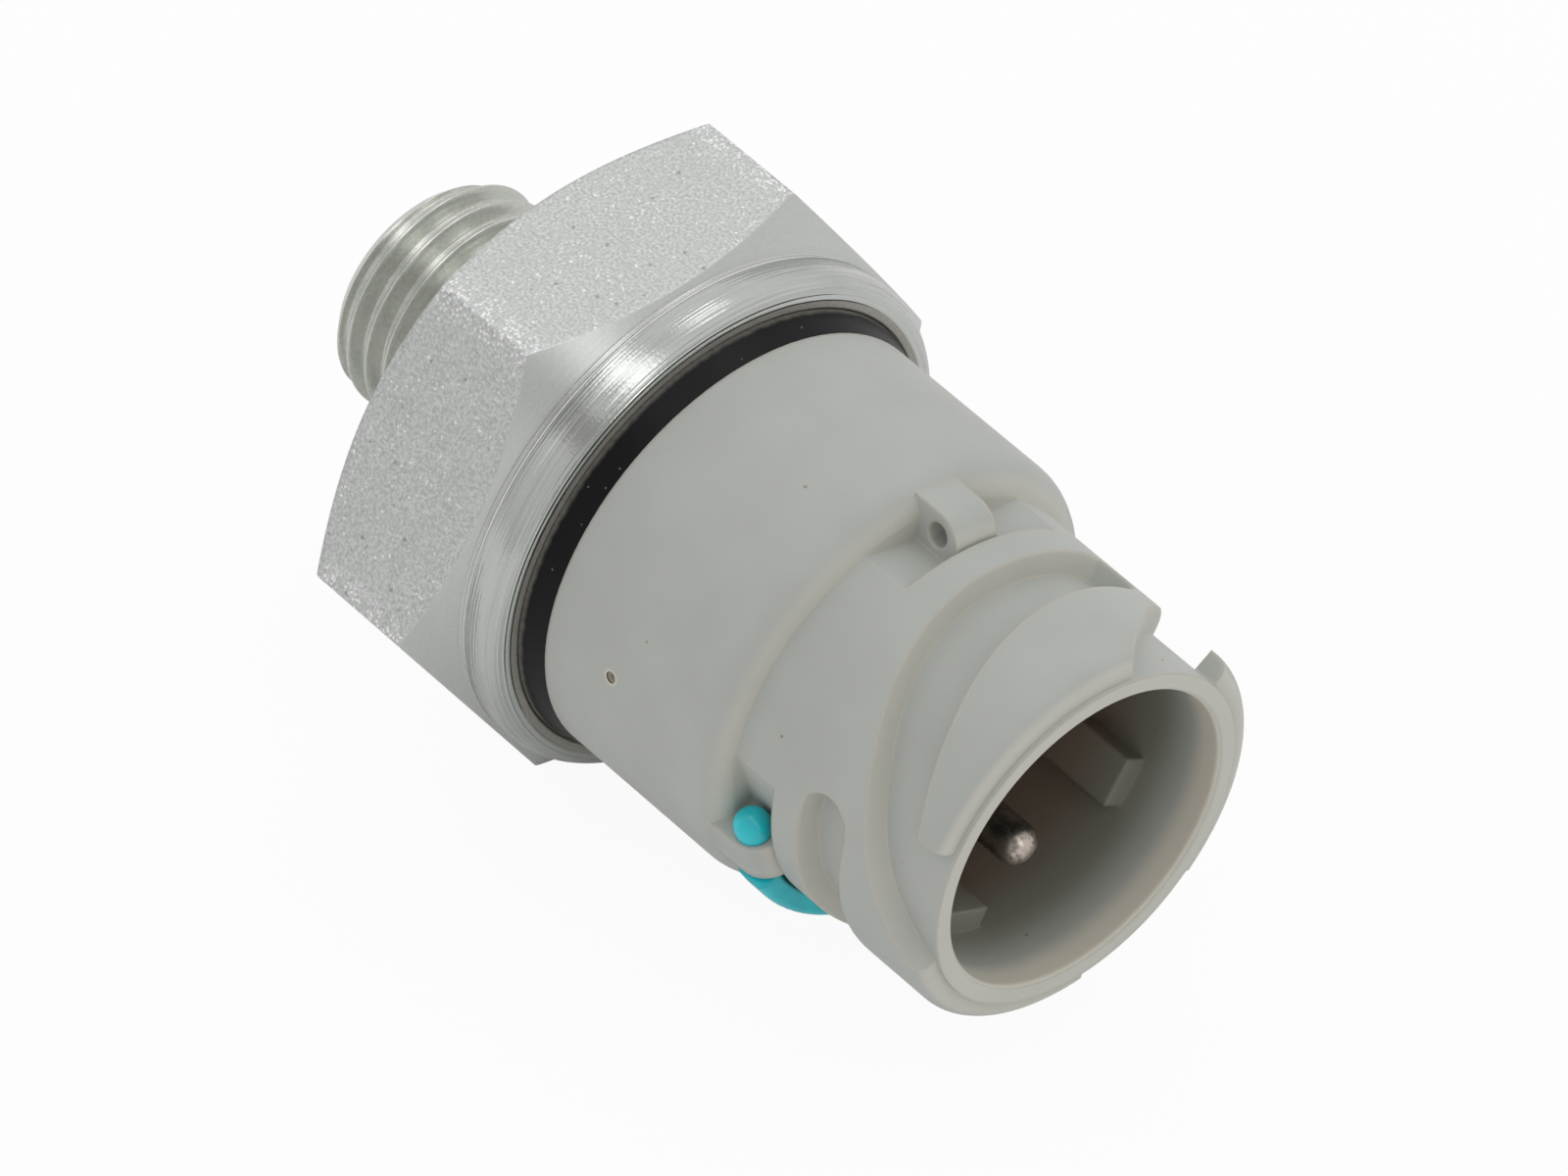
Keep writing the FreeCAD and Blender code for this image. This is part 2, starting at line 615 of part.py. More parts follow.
def make_contact_spring(doc, s, i):
    """Bent strip that carries the signal from the board to a pin."""
    label = f"contact_spring_{i + 1}"
    body = new_body(doc, label)
    inner, outer = s.pin_circle - s.spring_length / 2, s.pin_circle + s.spring_length / 2
    rear, front, wall = board_front(s), s.pin_tail, s.spring_thickness
    sketch = outline(new_sketch(body, f"{label}_side", "XZ_Plane"),
                     [(rear, inner), (rear, outer), (front, outer), (front, inner), (front - wall, inner),
                      (front - wall, outer - wall), (rear + wall, outer - wall), (rear + wall, inner)])
    extrude(body, f"{label}_strip", "Pad", sketch, s.spring_width, both_sides=True)
    rotate_about_axis(body, pin_angle(s, i) - TOP)
    return body


def bent_path(angle, level, bend_start, bend_end, slope):
    """Place along the axis of a wall that runs level, bends and then climbs, at one angle."""
    if angle <= bend_start:
        return level
    if angle < bend_end:
        return level + slope * (angle - bend_start) ** 2 / (2 * (bend_end - bend_start))
    return level + slope * (angle - (bend_start + bend_end) / 2)


def rear_wall(s, angle, radius):
    """Rear wall of a bayonet channel: the flange side, which leans and flares at the entry."""
    place = bent_path(angle, s.channel_rear.value, s.channel_rear_bend_start.value,
                      s.channel_rear_bend_end.value, s.channel_rear_slope.value)
    if angle > s.channel_flare_start.value:
        place += s.channel_flare.value * (angle - s.channel_flare_start.value) ** 2
    return place + s.channel_rear_draft.value * (s.flange_radius.value - radius)


def front_wall(s, angle):
    """Front wall of a bayonet channel: the rear edge of the ramp."""
    return bent_path(angle, s.channel_front.value, s.channel_front_bend_start.value,
                     s.channel_front_bend_end.value, s.channel_front_slope.value)


def channel_loop(s, radius):
    """Outline of one channel on a cylinder of the given radius: its edges in order, and their face."""
    surface = Part.Cylinder()
    surface.Radius = radius
    flange, entry = s.flange_radius.value, s.channel_entry_angle.value
    end_angle = math.degrees((s.channel_front - s.channel_rear).value / 2 / flange)
    half = (front_wall(s, end_angle) - rear_wall(s, end_angle, radius)) / 2
    middle = front_wall(s, end_angle) - half
    beyond = (s.mouth + s.past * 2).value
    exit_angle = entry
    while rear_wall(s, exit_angle, flange) < (s.mouth + s.past).value:
        exit_angle += CHANNEL_STEP / 10

    def point(angle, place):
        return FreeCAD.Base.Vector2d(math.radians(angle), place)

    def curve(points):
        spline = Part.Geom2d.BSplineCurve2d()
        spline.interpolate(points)
        return spline.toShape(surface)

    def line(start, end):
        return Part.Geom2d.Line2dSegment(start, end).toShape(surface)

    def steps(start, end, step):
        count = math.ceil(abs(end - start) / step)
        return [start + (end - start) * k / count for k in range(count + 1)]

    rear = [point(a, rear_wall(s, a, radius)) for a in steps(end_angle, exit_angle, CHANNEL_STEP)]
    front = [point(a, front_wall(s, a)) for a in steps(entry, end_angle, CHANNEL_STEP)]
    closed = [point(end_angle * (1 - math.sin(math.radians(t))), middle + half * math.cos(math.radians(t)))
              for t in steps(0, 180, ROUND_STEP)]
    top_far, top_near = point(exit_angle, beyond), point(entry, beyond)
    edges = [curve(rear), line(rear[-1], top_far), line(top_far, top_near), line(top_near, front[0]),
             curve(front), curve(closed)]
    return edges, Part.Face(surface, Part.Wire(edges))


def tube_middle(s):
    """Radius in the middle of the plug's tube wall."""
    return (s.socket_radius + s.tube_radius) / 2


def floor_middle(s):
    """Place along the axis in the middle of the plug's floor."""
    return (s.cavity_end + s.socket_floor) / 2


def flange_middle(s):
    """Place along the axis between the flange's rear edge and the channels."""
    return (s.flange_back + s.channel_rear) / 2


def make_channel(doc, s, number):
    """One bayonet channel as a cutter that goes right through the ring of the ramps."""
    inner, inner_face = channel_loop(s, (tube_middle(s) - s.past).value)
    outer, outer_face = channel_loop(s, (s.flange_radius + s.past).value)
    faces = [Part.makeRuledSurface(a, b) for a, b in zip(inner, outer)]
    shell = Part.Shell(faces + [inner_face, outer_face])
    shell.sewShape()
    channel = doc.addObject("Part::Feature", f"bayonet_channel_{number + 1}")
    channel.Shape = Part.Solid(shell)
    turn = s.channel_angle.value + 360.0 * number / s.bayonet_count.value
    turned = ALONG_X * FreeCAD.Rotation(FreeCAD.Vector(0, 0, 1), turn)
    channel.Placement = FreeCAD.Placement(FreeCAD.Vector(), turned)
    return channel


def make_ramps(doc, s):
    """Ring in front of the flange, cut into the bayonet ramps by the channels."""
    ring = new_body(doc, "ramp_ring")
    turn_profile(ring, "ramp_form", "Revolution",
                 [(flange_middle(s), tube_middle(s)), (flange_middle(s), s.flange_radius),
                  (s.ramp_front, s.flange_radius), (s.ramp_front, tube_middle(s))])
    round_edges(doc, ring, "ramp_edge", ring_edge(s.ramp_front, s.flange_radius), s.ramp_round)
    ramps = ring
    for number in range(int(s.bayonet_count.value)):
        cut = doc.addObject("Part::Cut", f"ramps_{number + 1}")
        cut.Base = ramps
        cut.Tool = make_channel(doc, s, number)
        ramps = cut
    return ramps


def make_housing_form(doc, s):
    """The moulding without its bayonet ramps."""
    body = new_body(doc, "housing_form")
    turn_profile(body, "shell", "Revolution",
                 [(s.seat_depth, s.cavity_radius), (s.seat_depth, s.foot_radius), (s.foot_top, s.foot_radius),
                  (s.foot_top, s.seal_groove_radius), (s.body_start, s.seal_groove_radius),
                  (s.body_start, s.body_radius), (s.shoulder, s.body_radius), (s.shoulder, 0),
                  (s.cavity_end, 0), (s.cavity_end, s.cavity_radius)])
    round_edges(doc, body, "shoulder_edge", ring_edge(s.shoulder, s.body_radius), s.shoulder_round)
    turn_profile(body, "plug", "Revolution",
                 [(floor_middle(s), 0), (floor_middle(s), s.flange_radius),
                  (flange_middle(s), s.flange_radius), (flange_middle(s), s.tube_radius),
                  (s.mouth, s.tube_radius), (s.mouth, 0)])
    turn_profile(body, "socket", "Groove",
                 [(s.socket_floor, 0), (s.mouth + s.past, 0), (s.mouth + s.past, s.socket_radius),
                  (s.socket_floor, s.socket_radius)])
    round_edges(doc, body, "mouth_edge", ring_edge(s.mouth, s.socket_radius), s.mouth_round)
    turn = s.lug_angle - TOP
    far = s.body_radius + s.past
    flat = outline(new_sketch(body, "flat_side", "XZ_Plane", turn=turn),
                   [(s.shoulder, s.tube_radius), (s.flange_back, s.tube_radius), (s.flange_back, far),
                    (s.shoulder, far)])
    cut = extrude(body, "flat", "Pocket", flat, s.body_radius * 2, both_sides=True)
    polar(doc, body, "flats", [cut], s.bayonet_count)
    root, back = tube_middle(s), s.shoulder - s.past
    halves = []
    sides = (("lug_lead_side", s.lug_lead, False), ("lug_trail_side", s.lug_trail, True))
    for name, length, backwards in sides:
        side = outline(new_sketch(body, f"{name}_outline", "XZ_Plane", turn=turn),
                       [(back, root), (s.lug_front, root), (s.lug_front, s.lug_height), (back, s.lug_height)])
        halves.append(extrude(body, name, "Pad", side, length, backwards=backwards))
    polar(doc, body, "lugs", halves, s.bayonet_count)

    def lug_edge(edge):
        middle = edge.CenterOfMass
        straight = edge.Curve.TypeId == "Part::GeomLine"
        at_front = abs(middle.x - s.lug_front.value) < 1e-4
        return straight and at_front and math.hypot(middle.y, middle.z) > s.lug_height.value - 1e-4

    round_edges(doc, body, "lug_edges", lug_edge, s.lug_round)
    hole = circle(new_sketch(body, "lug_hole_circle", "XZ_Plane", turn=turn), s.lug_hole_place,
                  s.lug_hole_height, s.lug_hole_radius)
    drilled = extrude(body, "lug_hole", "Pocket", hole, (s.lug_lead + s.lug_trail) * 2, both_sides=True)
    polar(doc, body, "lug_holes", [drilled], s.bayonet_count)
    for i, angle in enumerate((s.key_angle_1, s.key_angle_2), start=1):
        key = outline(new_sketch(body, f"key_{i}_side", "XZ_Plane", turn=angle - TOP),
                      [(floor_middle(s), s.key_radius), (s.key_end, s.key_radius), (s.key_end, root),
                       (floor_middle(s), root)])
        extrude(body, f"key_{i}", "Pad", key, s.key_width, both_sides=True)
    return body


def cosine(angle):
    """Cosine of an angle in degrees."""
    return Size(math.cos(math.radians(angle.value)), f"cos({angle.text} * 1deg)")


def sine(angle):
    """Sine of an angle in degrees."""
    return Size(math.sin(math.radians(angle.value)), f"sin({angle.text} * 1deg)")


def place(thing, base, axis, angle):
    """Put a primitive at a base point, turned by a bound angle about a fixed axis."""
    angle = as_size(angle)
    thing.Placement = FreeCAD.Placement(FreeCAD.Vector(), FreeCAD.Rotation(axis, angle.value))
    bind(thing, "Placement.Rotation.Angle", angle)
    for path, size in zip(("Placement.Base.x", "Placement.Base.y", "Placement.Base.z"), base):
        bind(thing, path, size)


def rod(doc, name, base, axis, angle, radius, length):
    """Cylinder from a base point, turned by a bound angle about a fixed axis."""
    cylinder = doc.addObject("Part::Cylinder", name)
    place(cylinder, base, axis, angle)
    bind(cylinder, "Radius", radius)
    bind(cylinder, "Height", length)
    return cylinder


def make_connector_housing(doc, s):
    """Grey moulding: plug with three bayonet ramps, round body and foot under the crimped collar."""
    moulding = doc.addObject("Part::Fuse", "moulding")
    moulding.Base = make_housing_form(doc, s)
    moulding.Tool = make_ramps(doc, s)
    depth = s.body_radius - s.gate_depth
    gate = (s.gate_place, cosine(s.gate_angle) * depth, sine(s.gate_angle) * depth)
    cutters = [rod(doc, "gate_mark", gate, X_AXIS, s.gate_angle - TOP, s.gate_radius, s.gate_depth * 2)]
    for i in range(PIN_COUNT):
        angle = pin_angle(s, i)
        centre = (s.cavity_end - s.past, cosine(angle) * s.pin_circle, sine(angle) * s.pin_circle)
        depth = s.socket_floor - s.cavity_end + s.past * 2
        cutters.append(rod(doc, f"pin_hole_{i + 1}", centre, FreeCAD.Vector(0, 1, 0), TOP,
                           s.pin_radius + s.fit, depth))
    tools = doc.addObject("Part::MultiFuse", "housing_cutters")
    tools.Shapes = cutters
    housing = doc.addObject("Part::Cut", "connector_housing")
    housing.Base = moulding
    housing.Tool = tools
    housing.Label = "connector_housing"
    return housing


def make_housing_seal(doc, s):
    """Black rubber ring between the rolled lip and the moulding."""
    inner = s.seal_groove_radius + s.fit
    bore = s.collar_radius - s.collar_wall - s.fit
    lip_back = s.collar_end - s.lip_thickness
    lip = s.lip_radius - s.fit
    return turned_part(doc, "housing_seal",
                       [(s.foot_top, inner), (s.body_start, inner), (s.body_start, s.body_radius),
                        (s.collar_end, lip), (lip_back, lip), (lip_back, bore), (s.foot_top, bore)])


def place_on_flat(s, thing, flat, past_middle):
    """Put a primitive on a lug hole's line, its Z along the hole, some way past the middle of the flat."""
    base = (s.lug_hole_place, cosine(flat) * s.lug_hole_height - sine(flat) * past_middle,
            sine(flat) * s.lug_hole_height + cosine(flat) * past_middle)
    place(thing, base, X_AXIS, flat)


def clip_rod(doc, s, name, flat, start, length, radius):
    """Rod of the clip along a lug hole, from one distance past the middle of its flat."""
    cylinder = doc.addObject("Part::Cylinder", name)
    place_on_flat(s, cylinder, flat, start)
    bind(cylinder, "Radius", radius)
    bind(cylinder, "Height", length)
    return cylinder


def make_colour_clip(doc, s):
    """Coloured clip: a band over the moulding whose two ends are pinned in the lug holes."""
    first = s.lug_angle + Size(360.0, "360") / s.bayonet_count
    last = s.lug_angle + Size(720.0, "720") / s.bayonet_count
    band = new_body(doc, "clip_band")
    sketch = outline(new_sketch(band, "band_section", "XY_Plane"),
                     [(s.clip_back, s.clip_inner_radius), (s.clip_front, s.clip_inner_radius),
                      (s.clip_front, s.clip_outer_radius), (s.clip_back, s.clip_outer_radius)])
    sweep = band.newObject("PartDesign::Revolution", "band")
    sweep.Profile = sketch
    sweep.ReferenceAxis = (sketch, ["H_Axis"])
    span = last - s.clip_end_gap - first - s.clip_start_gap
    sweep.Angle = span.value
    bind(sweep, "Angle", span)

    def outer_edge(edge):
        curve = edge.Curve
        return curve.TypeId == "Part::GeomCircle" and abs(curve.Radius - s.clip_outer_radius.value) < 1e-4

    round_edges(doc, band, "band_round", outer_edge, s.clip_round)
    rotate_about_axis(band, first + s.clip_start_gap)
    head_start = -s.lug_trail - s.fit
    neck = s.clip_head_length - s.clip_head_radius
    parts = [band,
             clip_rod(doc, s, "clip_pin_1", first, head_start, s.clip_pin_reach - head_start, s.clip_pin_radius),
             clip_rod(doc, s, "clip_head", first, head_start - neck, neck, s.clip_head_radius),
             clip_rod(doc, s, "clip_pin_2", last, -s.clip_pin_reach,
                      s.clip_pin_reach + s.lug_lead + s.clip_tail, s.clip_pin_radius)]
    tip = doc.addObject("Part::Sphere", "clip_tip")
    tip.Angle2 = 0
    bind(tip, "Radius", s.clip_head_radius)
    place_on_flat(s, tip, first, head_start - neck)
    clip = doc.addObject("Part::MultiFuse", "colour_clip")
    clip.Shapes = parts + [tip]
    clip.Label = "colour_clip"
    return clip


def check(doc, pieces):
    """Stop unless every object computed and every piece has a valid shape."""
    for thing in doc.Objects:
        if any(word in thing.State for word in ("Invalid", "Error")):
            raise RuntimeError(f"{thing.Name} failed: {thing.State}")
    for piece in pieces:
        shape = piece.Shape
        if shape.isNull() or not shape.isValid() or not shape.Solids:
            raise RuntimeError(f"{piece.Label} has no valid solid")
        print(f"{piece.Label:22s} {len(shape.Solids)} solid {shape.Volume / 1000:8.3f} cm3")


def main():
    doc = FreeCAD.newDocument("oil_pressure_sender")
    s = Sheet(doc)
    pieces = [make_port_body(doc, s), make_damping_plug(doc, s), make_cell_seal(doc, s),
              make_backup_ring(doc, s), make_pressure_cell(doc, s), make_clamp_ring(doc, s),
              make_board_carrier(doc, s), make_circuit_board(doc, s), make_signal_chip(doc, s),
              make_capacitors(doc, s), make_cell_leads(doc, s), make_connector_housing(doc, s),
              make_housing_seal(doc, s), make_colour_clip(doc, s)]
    for i in range(PIN_COUNT):
        pieces.append(make_contact_pin(doc, s, i))
        pieces.append(make_contact_spring(doc, s, i))
    doc.recompute()
    check(doc, pieces)
    os.makedirs("parts", exist_ok=True)
    for piece in pieces:
        piece.Shape.exportStep(f"parts/{piece.Label}.step")


main()
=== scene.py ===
"""Looks of the oil pressure sender: finishes, threaded steel body, contact pins, studio light and camera.

Lengths in the size classes are millimetres. The row frame has its origin on the sender's axis in the
face that seats on the engine, +X towards the plug mouth and +Z out of the upper flat of the hexagon.
Angles about the axis are counted in degrees from +Y towards +Z.
"""

import json
import logging
import math
from dataclasses import dataclass, field
from enum import IntEnum
from typing import Mapping, Sequence, Union

import bmesh
import bpy
import numpy as np
from mathutils import Matrix, Quaternion, Vector

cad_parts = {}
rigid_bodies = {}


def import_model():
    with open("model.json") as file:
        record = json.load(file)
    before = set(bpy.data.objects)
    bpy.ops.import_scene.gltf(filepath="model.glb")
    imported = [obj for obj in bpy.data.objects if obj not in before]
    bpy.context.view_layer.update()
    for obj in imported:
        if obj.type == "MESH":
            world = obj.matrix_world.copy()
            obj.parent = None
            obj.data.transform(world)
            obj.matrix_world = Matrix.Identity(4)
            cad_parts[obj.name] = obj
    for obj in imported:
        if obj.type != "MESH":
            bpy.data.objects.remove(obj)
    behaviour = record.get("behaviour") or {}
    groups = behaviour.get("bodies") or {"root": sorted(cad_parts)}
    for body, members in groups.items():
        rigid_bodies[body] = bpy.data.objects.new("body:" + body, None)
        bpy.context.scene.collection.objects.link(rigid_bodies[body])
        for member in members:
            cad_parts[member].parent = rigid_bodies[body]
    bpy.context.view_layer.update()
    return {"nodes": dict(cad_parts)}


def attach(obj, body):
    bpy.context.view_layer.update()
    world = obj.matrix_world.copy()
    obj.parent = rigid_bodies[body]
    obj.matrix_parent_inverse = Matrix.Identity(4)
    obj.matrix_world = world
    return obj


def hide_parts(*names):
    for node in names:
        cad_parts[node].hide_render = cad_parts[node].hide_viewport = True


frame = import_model()

log = logging.getLogger("sender")
MM = 0.001
Colour = tuple[float, float, float]
Place = tuple[float, float, float]
Reach = Union[float, np.ndarray]
Value = Union["Signal", bpy.types.NodeSocket, float, Sequence[float]]
WHITE: Colour = (1.0, 1.0, 1.0)


def from_srgb(red: float, green: float, blue: float) -> Colour:
    """Turn a display colour into a linear one.

    Args:
        red, green, blue: display values from 0 to 255.

    Returns:
        The linear colour, each part from 0 to 1.
    """
    def linear(value: float) -> float:
        """Return one part of the colour, from 0 to 1."""
        value /= 255
        return value / 12.92 if value <= 0.04045 else ((value + 0.055) / 1.055) ** 2.4
    return linear(red), linear(green), linear(blue)


def toned(colour: Colour, share: float, lift: float = 0.0) -> Colour:
    """Make a colour darker or lighter.

    Args:
        colour: the colour to start from.
        share: factor on each part.
        lift: what is added to each part.

    Returns:
        The new colour, no part of it above 1.
    """
    red, green, blue = (min(1.0, share * part + lift) for part in colour)
    return red, green, blue


def quarter_round(front: float, side: float, bend: float) -> list[tuple[float, float]]:
    """Make the profile of a rounded edge, from the side of a turned piece to its front face.

    Args:
        front: place of the front face along the axis.
        side: radius of the side.
        bend: radius of the rounding.

    Returns:
        Place along the axis and radius of each point.
    """
    turns = [math.radians(angle) for angle in range(0, 91, 9)]
    return [(front - bend + bend * math.sin(turn), side - bend + bend * math.cos(turn)) for turn in turns]


@dataclass(frozen=True)
class Dots:
    """Scattered dots: the possible ones in each millimetre, their size in that room, the share there is."""
    scale: float
    size: float
    share: float


@dataclass(frozen=True)
class Band:
    """A colour that comes in along the axis from one place to another, up to a share."""
    start: float
    full: float
    share: float
    colour: Colour


class Signal:
    """One output socket, with arithmetic that adds Math nodes behind it."""

    def __init__(self, graph: "Graph", socket: bpy.types.NodeSocket) -> None:
        """Wrap a socket of a graph."""
        self.graph = graph
        self.socket = socket

    def math(self, operation: str, *values: Value) -> "Signal":
        """Return the output of a new Math node with these inputs in order."""
        return self.graph.out("ShaderNodeMath", {"operation": operation}, dict(enumerate(values)))

    def __add__(self, other: Value) -> "Signal":
        """Return the sum."""
        return self.math("ADD", self, other)

    def __radd__(self, other: Value) -> "Signal":
        """Return the sum, with the signal second."""
        return self.math("ADD", other, self)

    def __sub__(self, other: Value) -> "Signal":
        """Return the difference."""
        return self.math("SUBTRACT", self, other)

    def __rsub__(self, other: Value) -> "Signal":
        """Return the difference, with the signal second."""
        return self.math("SUBTRACT", other, self)

    def __mul__(self, other: Value) -> "Signal":
        """Return the product."""
        return self.math("MULTIPLY", self, other)

    def __rmul__(self, other: Value) -> "Signal":
        """Return the product, with the signal second."""
        return self.math("MULTIPLY", other, self)

    def __pow__(self, other: Value) -> "Signal":
        """Return the power."""
        return self.math("POWER", self, other)

    def __rpow__(self, other: Value) -> "Signal":
        """Return the power, with the signal as the exponent."""
        return self.math("POWER", other, self)

    def size(self) -> "Signal":
        """Return the value without its sign."""
        return self.math("ABSOLUTE", self)

    def sine(self) -> "Signal":
        """Return the sine of the value, taken as radians."""
        return self.math("SINE", self)

    def at_most(self, limit: float) -> "Signal":
        """Return the value, held below a limit."""
        return self.math("MINIMUM", self, limit)

    def rise(self, low: float, high: float) -> "Signal":
        """Make a smooth step.

        Args:
            low: value at which the step is 0.
            high: value at which it is 1, which may be the lower of the two.

        Returns:
            The step, from 0 to 1.
        """
        values = {"Value": self, "From Min": min(low, high), "From Max": max(low, high),
                  "To Min": 0.0 if low < high else 1.0, "To Max": 1.0 if low < high else 0.0}
        return self.graph.out("ShaderNodeMapRange", {"interpolation_type": "SMOOTHSTEP"}, values)


def from_axis(y: Signal, z: Signal) -> Signal:
    """Return the distance from the sender's axis."""
    return (y * y + z * z) ** 0.5


class Graph:
    """The node tree of one material, with its coordinates in millimetres."""

    def __init__(self, tree: bpy.types.NodeTree) -> None:
        """Take a node tree and empty it."""
        self.tree = tree
        tree.nodes.clear()

    def node(self, kind: str, settings: Mapping[str, object],
             values: Mapping[Union[int, str], Value]) -> bpy.types.Node:
        """Add a node.

        Args:
            kind: type name of the node.
            settings: its properties, set before its inputs.
            values: what goes into each input, by number or name.

        Returns:
            The new node.
        """
        node = self.tree.nodes.new(kind)
        for name, setting in settings.items():
            setattr(node, name, setting)
        for key, value in values.items():
            socket = node.inputs[key]
            if isinstance(value, Signal):
                value = value.socket
            if isinstance(value, bpy.types.NodeSocket):
                self.tree.links.new(value, socket)
            elif socket.type == "RGBA" and len(value) == 3:
                socket.default_value = (*value, 1.0)
            else:
                socket.default_value = value
        return node

    def out(self, kind: str, settings: Mapping[str, object], values: Mapping[Union[int, str], Value],
            output: Union[int, str] = 0) -> Signal:
        """Return one output of a new node."""
        return Signal(self, self.node(kind, settings, values).outputs[output])

    def blend(self, operation: str, first: Value, second: Value, output: str = "Vector") -> Signal:
        """Return the output of a new Vector Math node on two vectors."""
        return self.out("ShaderNodeVectorMath", {"operation": operation}, {0: first, 1: second}, output)

    def scaled(self, vector: Value, factor: float) -> Signal:
        """Return a vector times a number."""
        return self.out("ShaderNodeVectorMath", {"operation": "SCALE"}, {0: vector, "Scale": factor})

    def place(self) -> Signal:
        """Return the place on the object in millimetres."""
        return self.scaled(self.out("ShaderNodeTexCoord", {}, {}, "Object"), 1 / MM)

    def true_normal(self) -> Signal:
        """Return the normal of the surface as it is built."""
        return self.out("ShaderNodeNewGeometry", {}, {}, "Normal")

    def ray(self, kind: str) -> Signal:
        """Return 1 for rays of one kind and 0 for all others."""
        return self.out("ShaderNodeLightPath", {}, {}, kind)

    def parts(self, vector: Value) -> tuple[Signal, Signal, Signal]:
        """Return the three parts of a vector."""
        x, y, z = self.node("ShaderNodeSeparateXYZ", {}, {0: vector}).outputs
        return Signal(self, x), Signal(self, y), Signal(self, z)

    def vector(self, x: Value, y: Value, z: Value) -> Signal:
        """Return a vector made of three parts."""
        return self.out("ShaderNodeCombineXYZ", {}, {0: x, 1: y, 2: z})

    def noise(self, vector: Value, scale: float, detail: float = 2.0, output: int = 0) -> Signal:
        """Return noise about 0.5 with a given number of features in each millimetre."""
        values = {"Vector": vector, "Scale": scale, "Detail": detail}
        return self.out("ShaderNodeTexNoise", {"noise_dimensions": "3D"}, values, output)

    def bent(self, vector: Value, scale: float, reach: float) -> Signal:
        """Push a place about by noise, so that dots on it come out ragged.

        Args:
            vector: place in millimetres.
            scale: waves in each millimetre.
            reach: how far the place is pushed, in millimetres.

        Returns:
            The new place.
        """
        push = self.blend("SUBTRACT", self.noise(vector, scale, output=1), (0.5, 0.5, 0.5))
        return self.blend("ADD", vector, self.scaled(push, reach))

    def specks(self, vector: Value, dots: Dots) -> Signal:
        """Make a mask of scattered dots.

        Args:
            vector: place in millimetres.
            dots: how many there are and how large.

        Returns:
            1 in a dot and 0 elsewhere.
        """
        cells = self.node("ShaderNodeTexVoronoi", {"feature": "F1"}, {"Vector": vector, "Scale": dots.scale})
        distance = Signal(self, cells.outputs["Distance"])
        random, _, _ = self.parts(cells.outputs["Color"])
        there = random.rise(1 - dots.share, 1 - dots.share + 0.01)
        return distance.rise(dots.size, dots.size * 0.5) * there

    def mix(self, mask: Value, base: Value, top: Value) -> Signal:
        """Return a colour that goes from base to top with a mask."""
        settings = {"data_type": "RGBA", "blend_type": "MIX"}
        return self.out("ShaderNodeMix", settings, {0: mask, 6: base, 7: top}, 2)

    def soft_normal(self, radius: float) -> Signal:
        """Return the normal of the surface with its edges rounded to a radius in millimetres."""
        return self.out("ShaderNodeBevel", {"samples": 6}, {"Radius": radius * MM})

    def edge(self, soft: Signal) -> Signal:
        """Return how far a softened normal leans from the true one, near an edge."""
        return 1.0 - self.blend("DOT_PRODUCT", soft, self.true_normal(), "Value")

    def bump(self, height: Value, depth: float, normal: Value) -> Signal:
        """Return a normal that follows a height from 0 to 1 over a depth in millimetres."""
        values = {"Strength": 1.0, "Distance": depth * MM, "Height": height, "Normal": normal}
        return self.out("ShaderNodeBump", {}, values)

    def surface(self, values: Mapping[str, Value]) -> None:
        """End the tree in a Principled shader with these inputs."""
        shader = self.out("ShaderNodeBsdfPrincipled", {}, values)
        self.node("ShaderNodeOutputMaterial", {}, {"Surface": shader})


@dataclass(frozen=True)
class Finish:
    """What every finish has: a name, a colour and a roughness."""
    name: str
    colour: Colour
    roughness: float

    def paint(self, graph: Graph) -> None:
        """Fill the material's node tree."""
        raise NotImplementedError

    def material(self) -> bpy.types.Material:
        """Build the material.

        Returns:
            A new material with this finish.
        """
        material = bpy.data.materials.new(self.name)
        material.use_nodes = True
        self.paint(Graph(material.node_tree))
        log.info("finish %s", self.name)
        return material


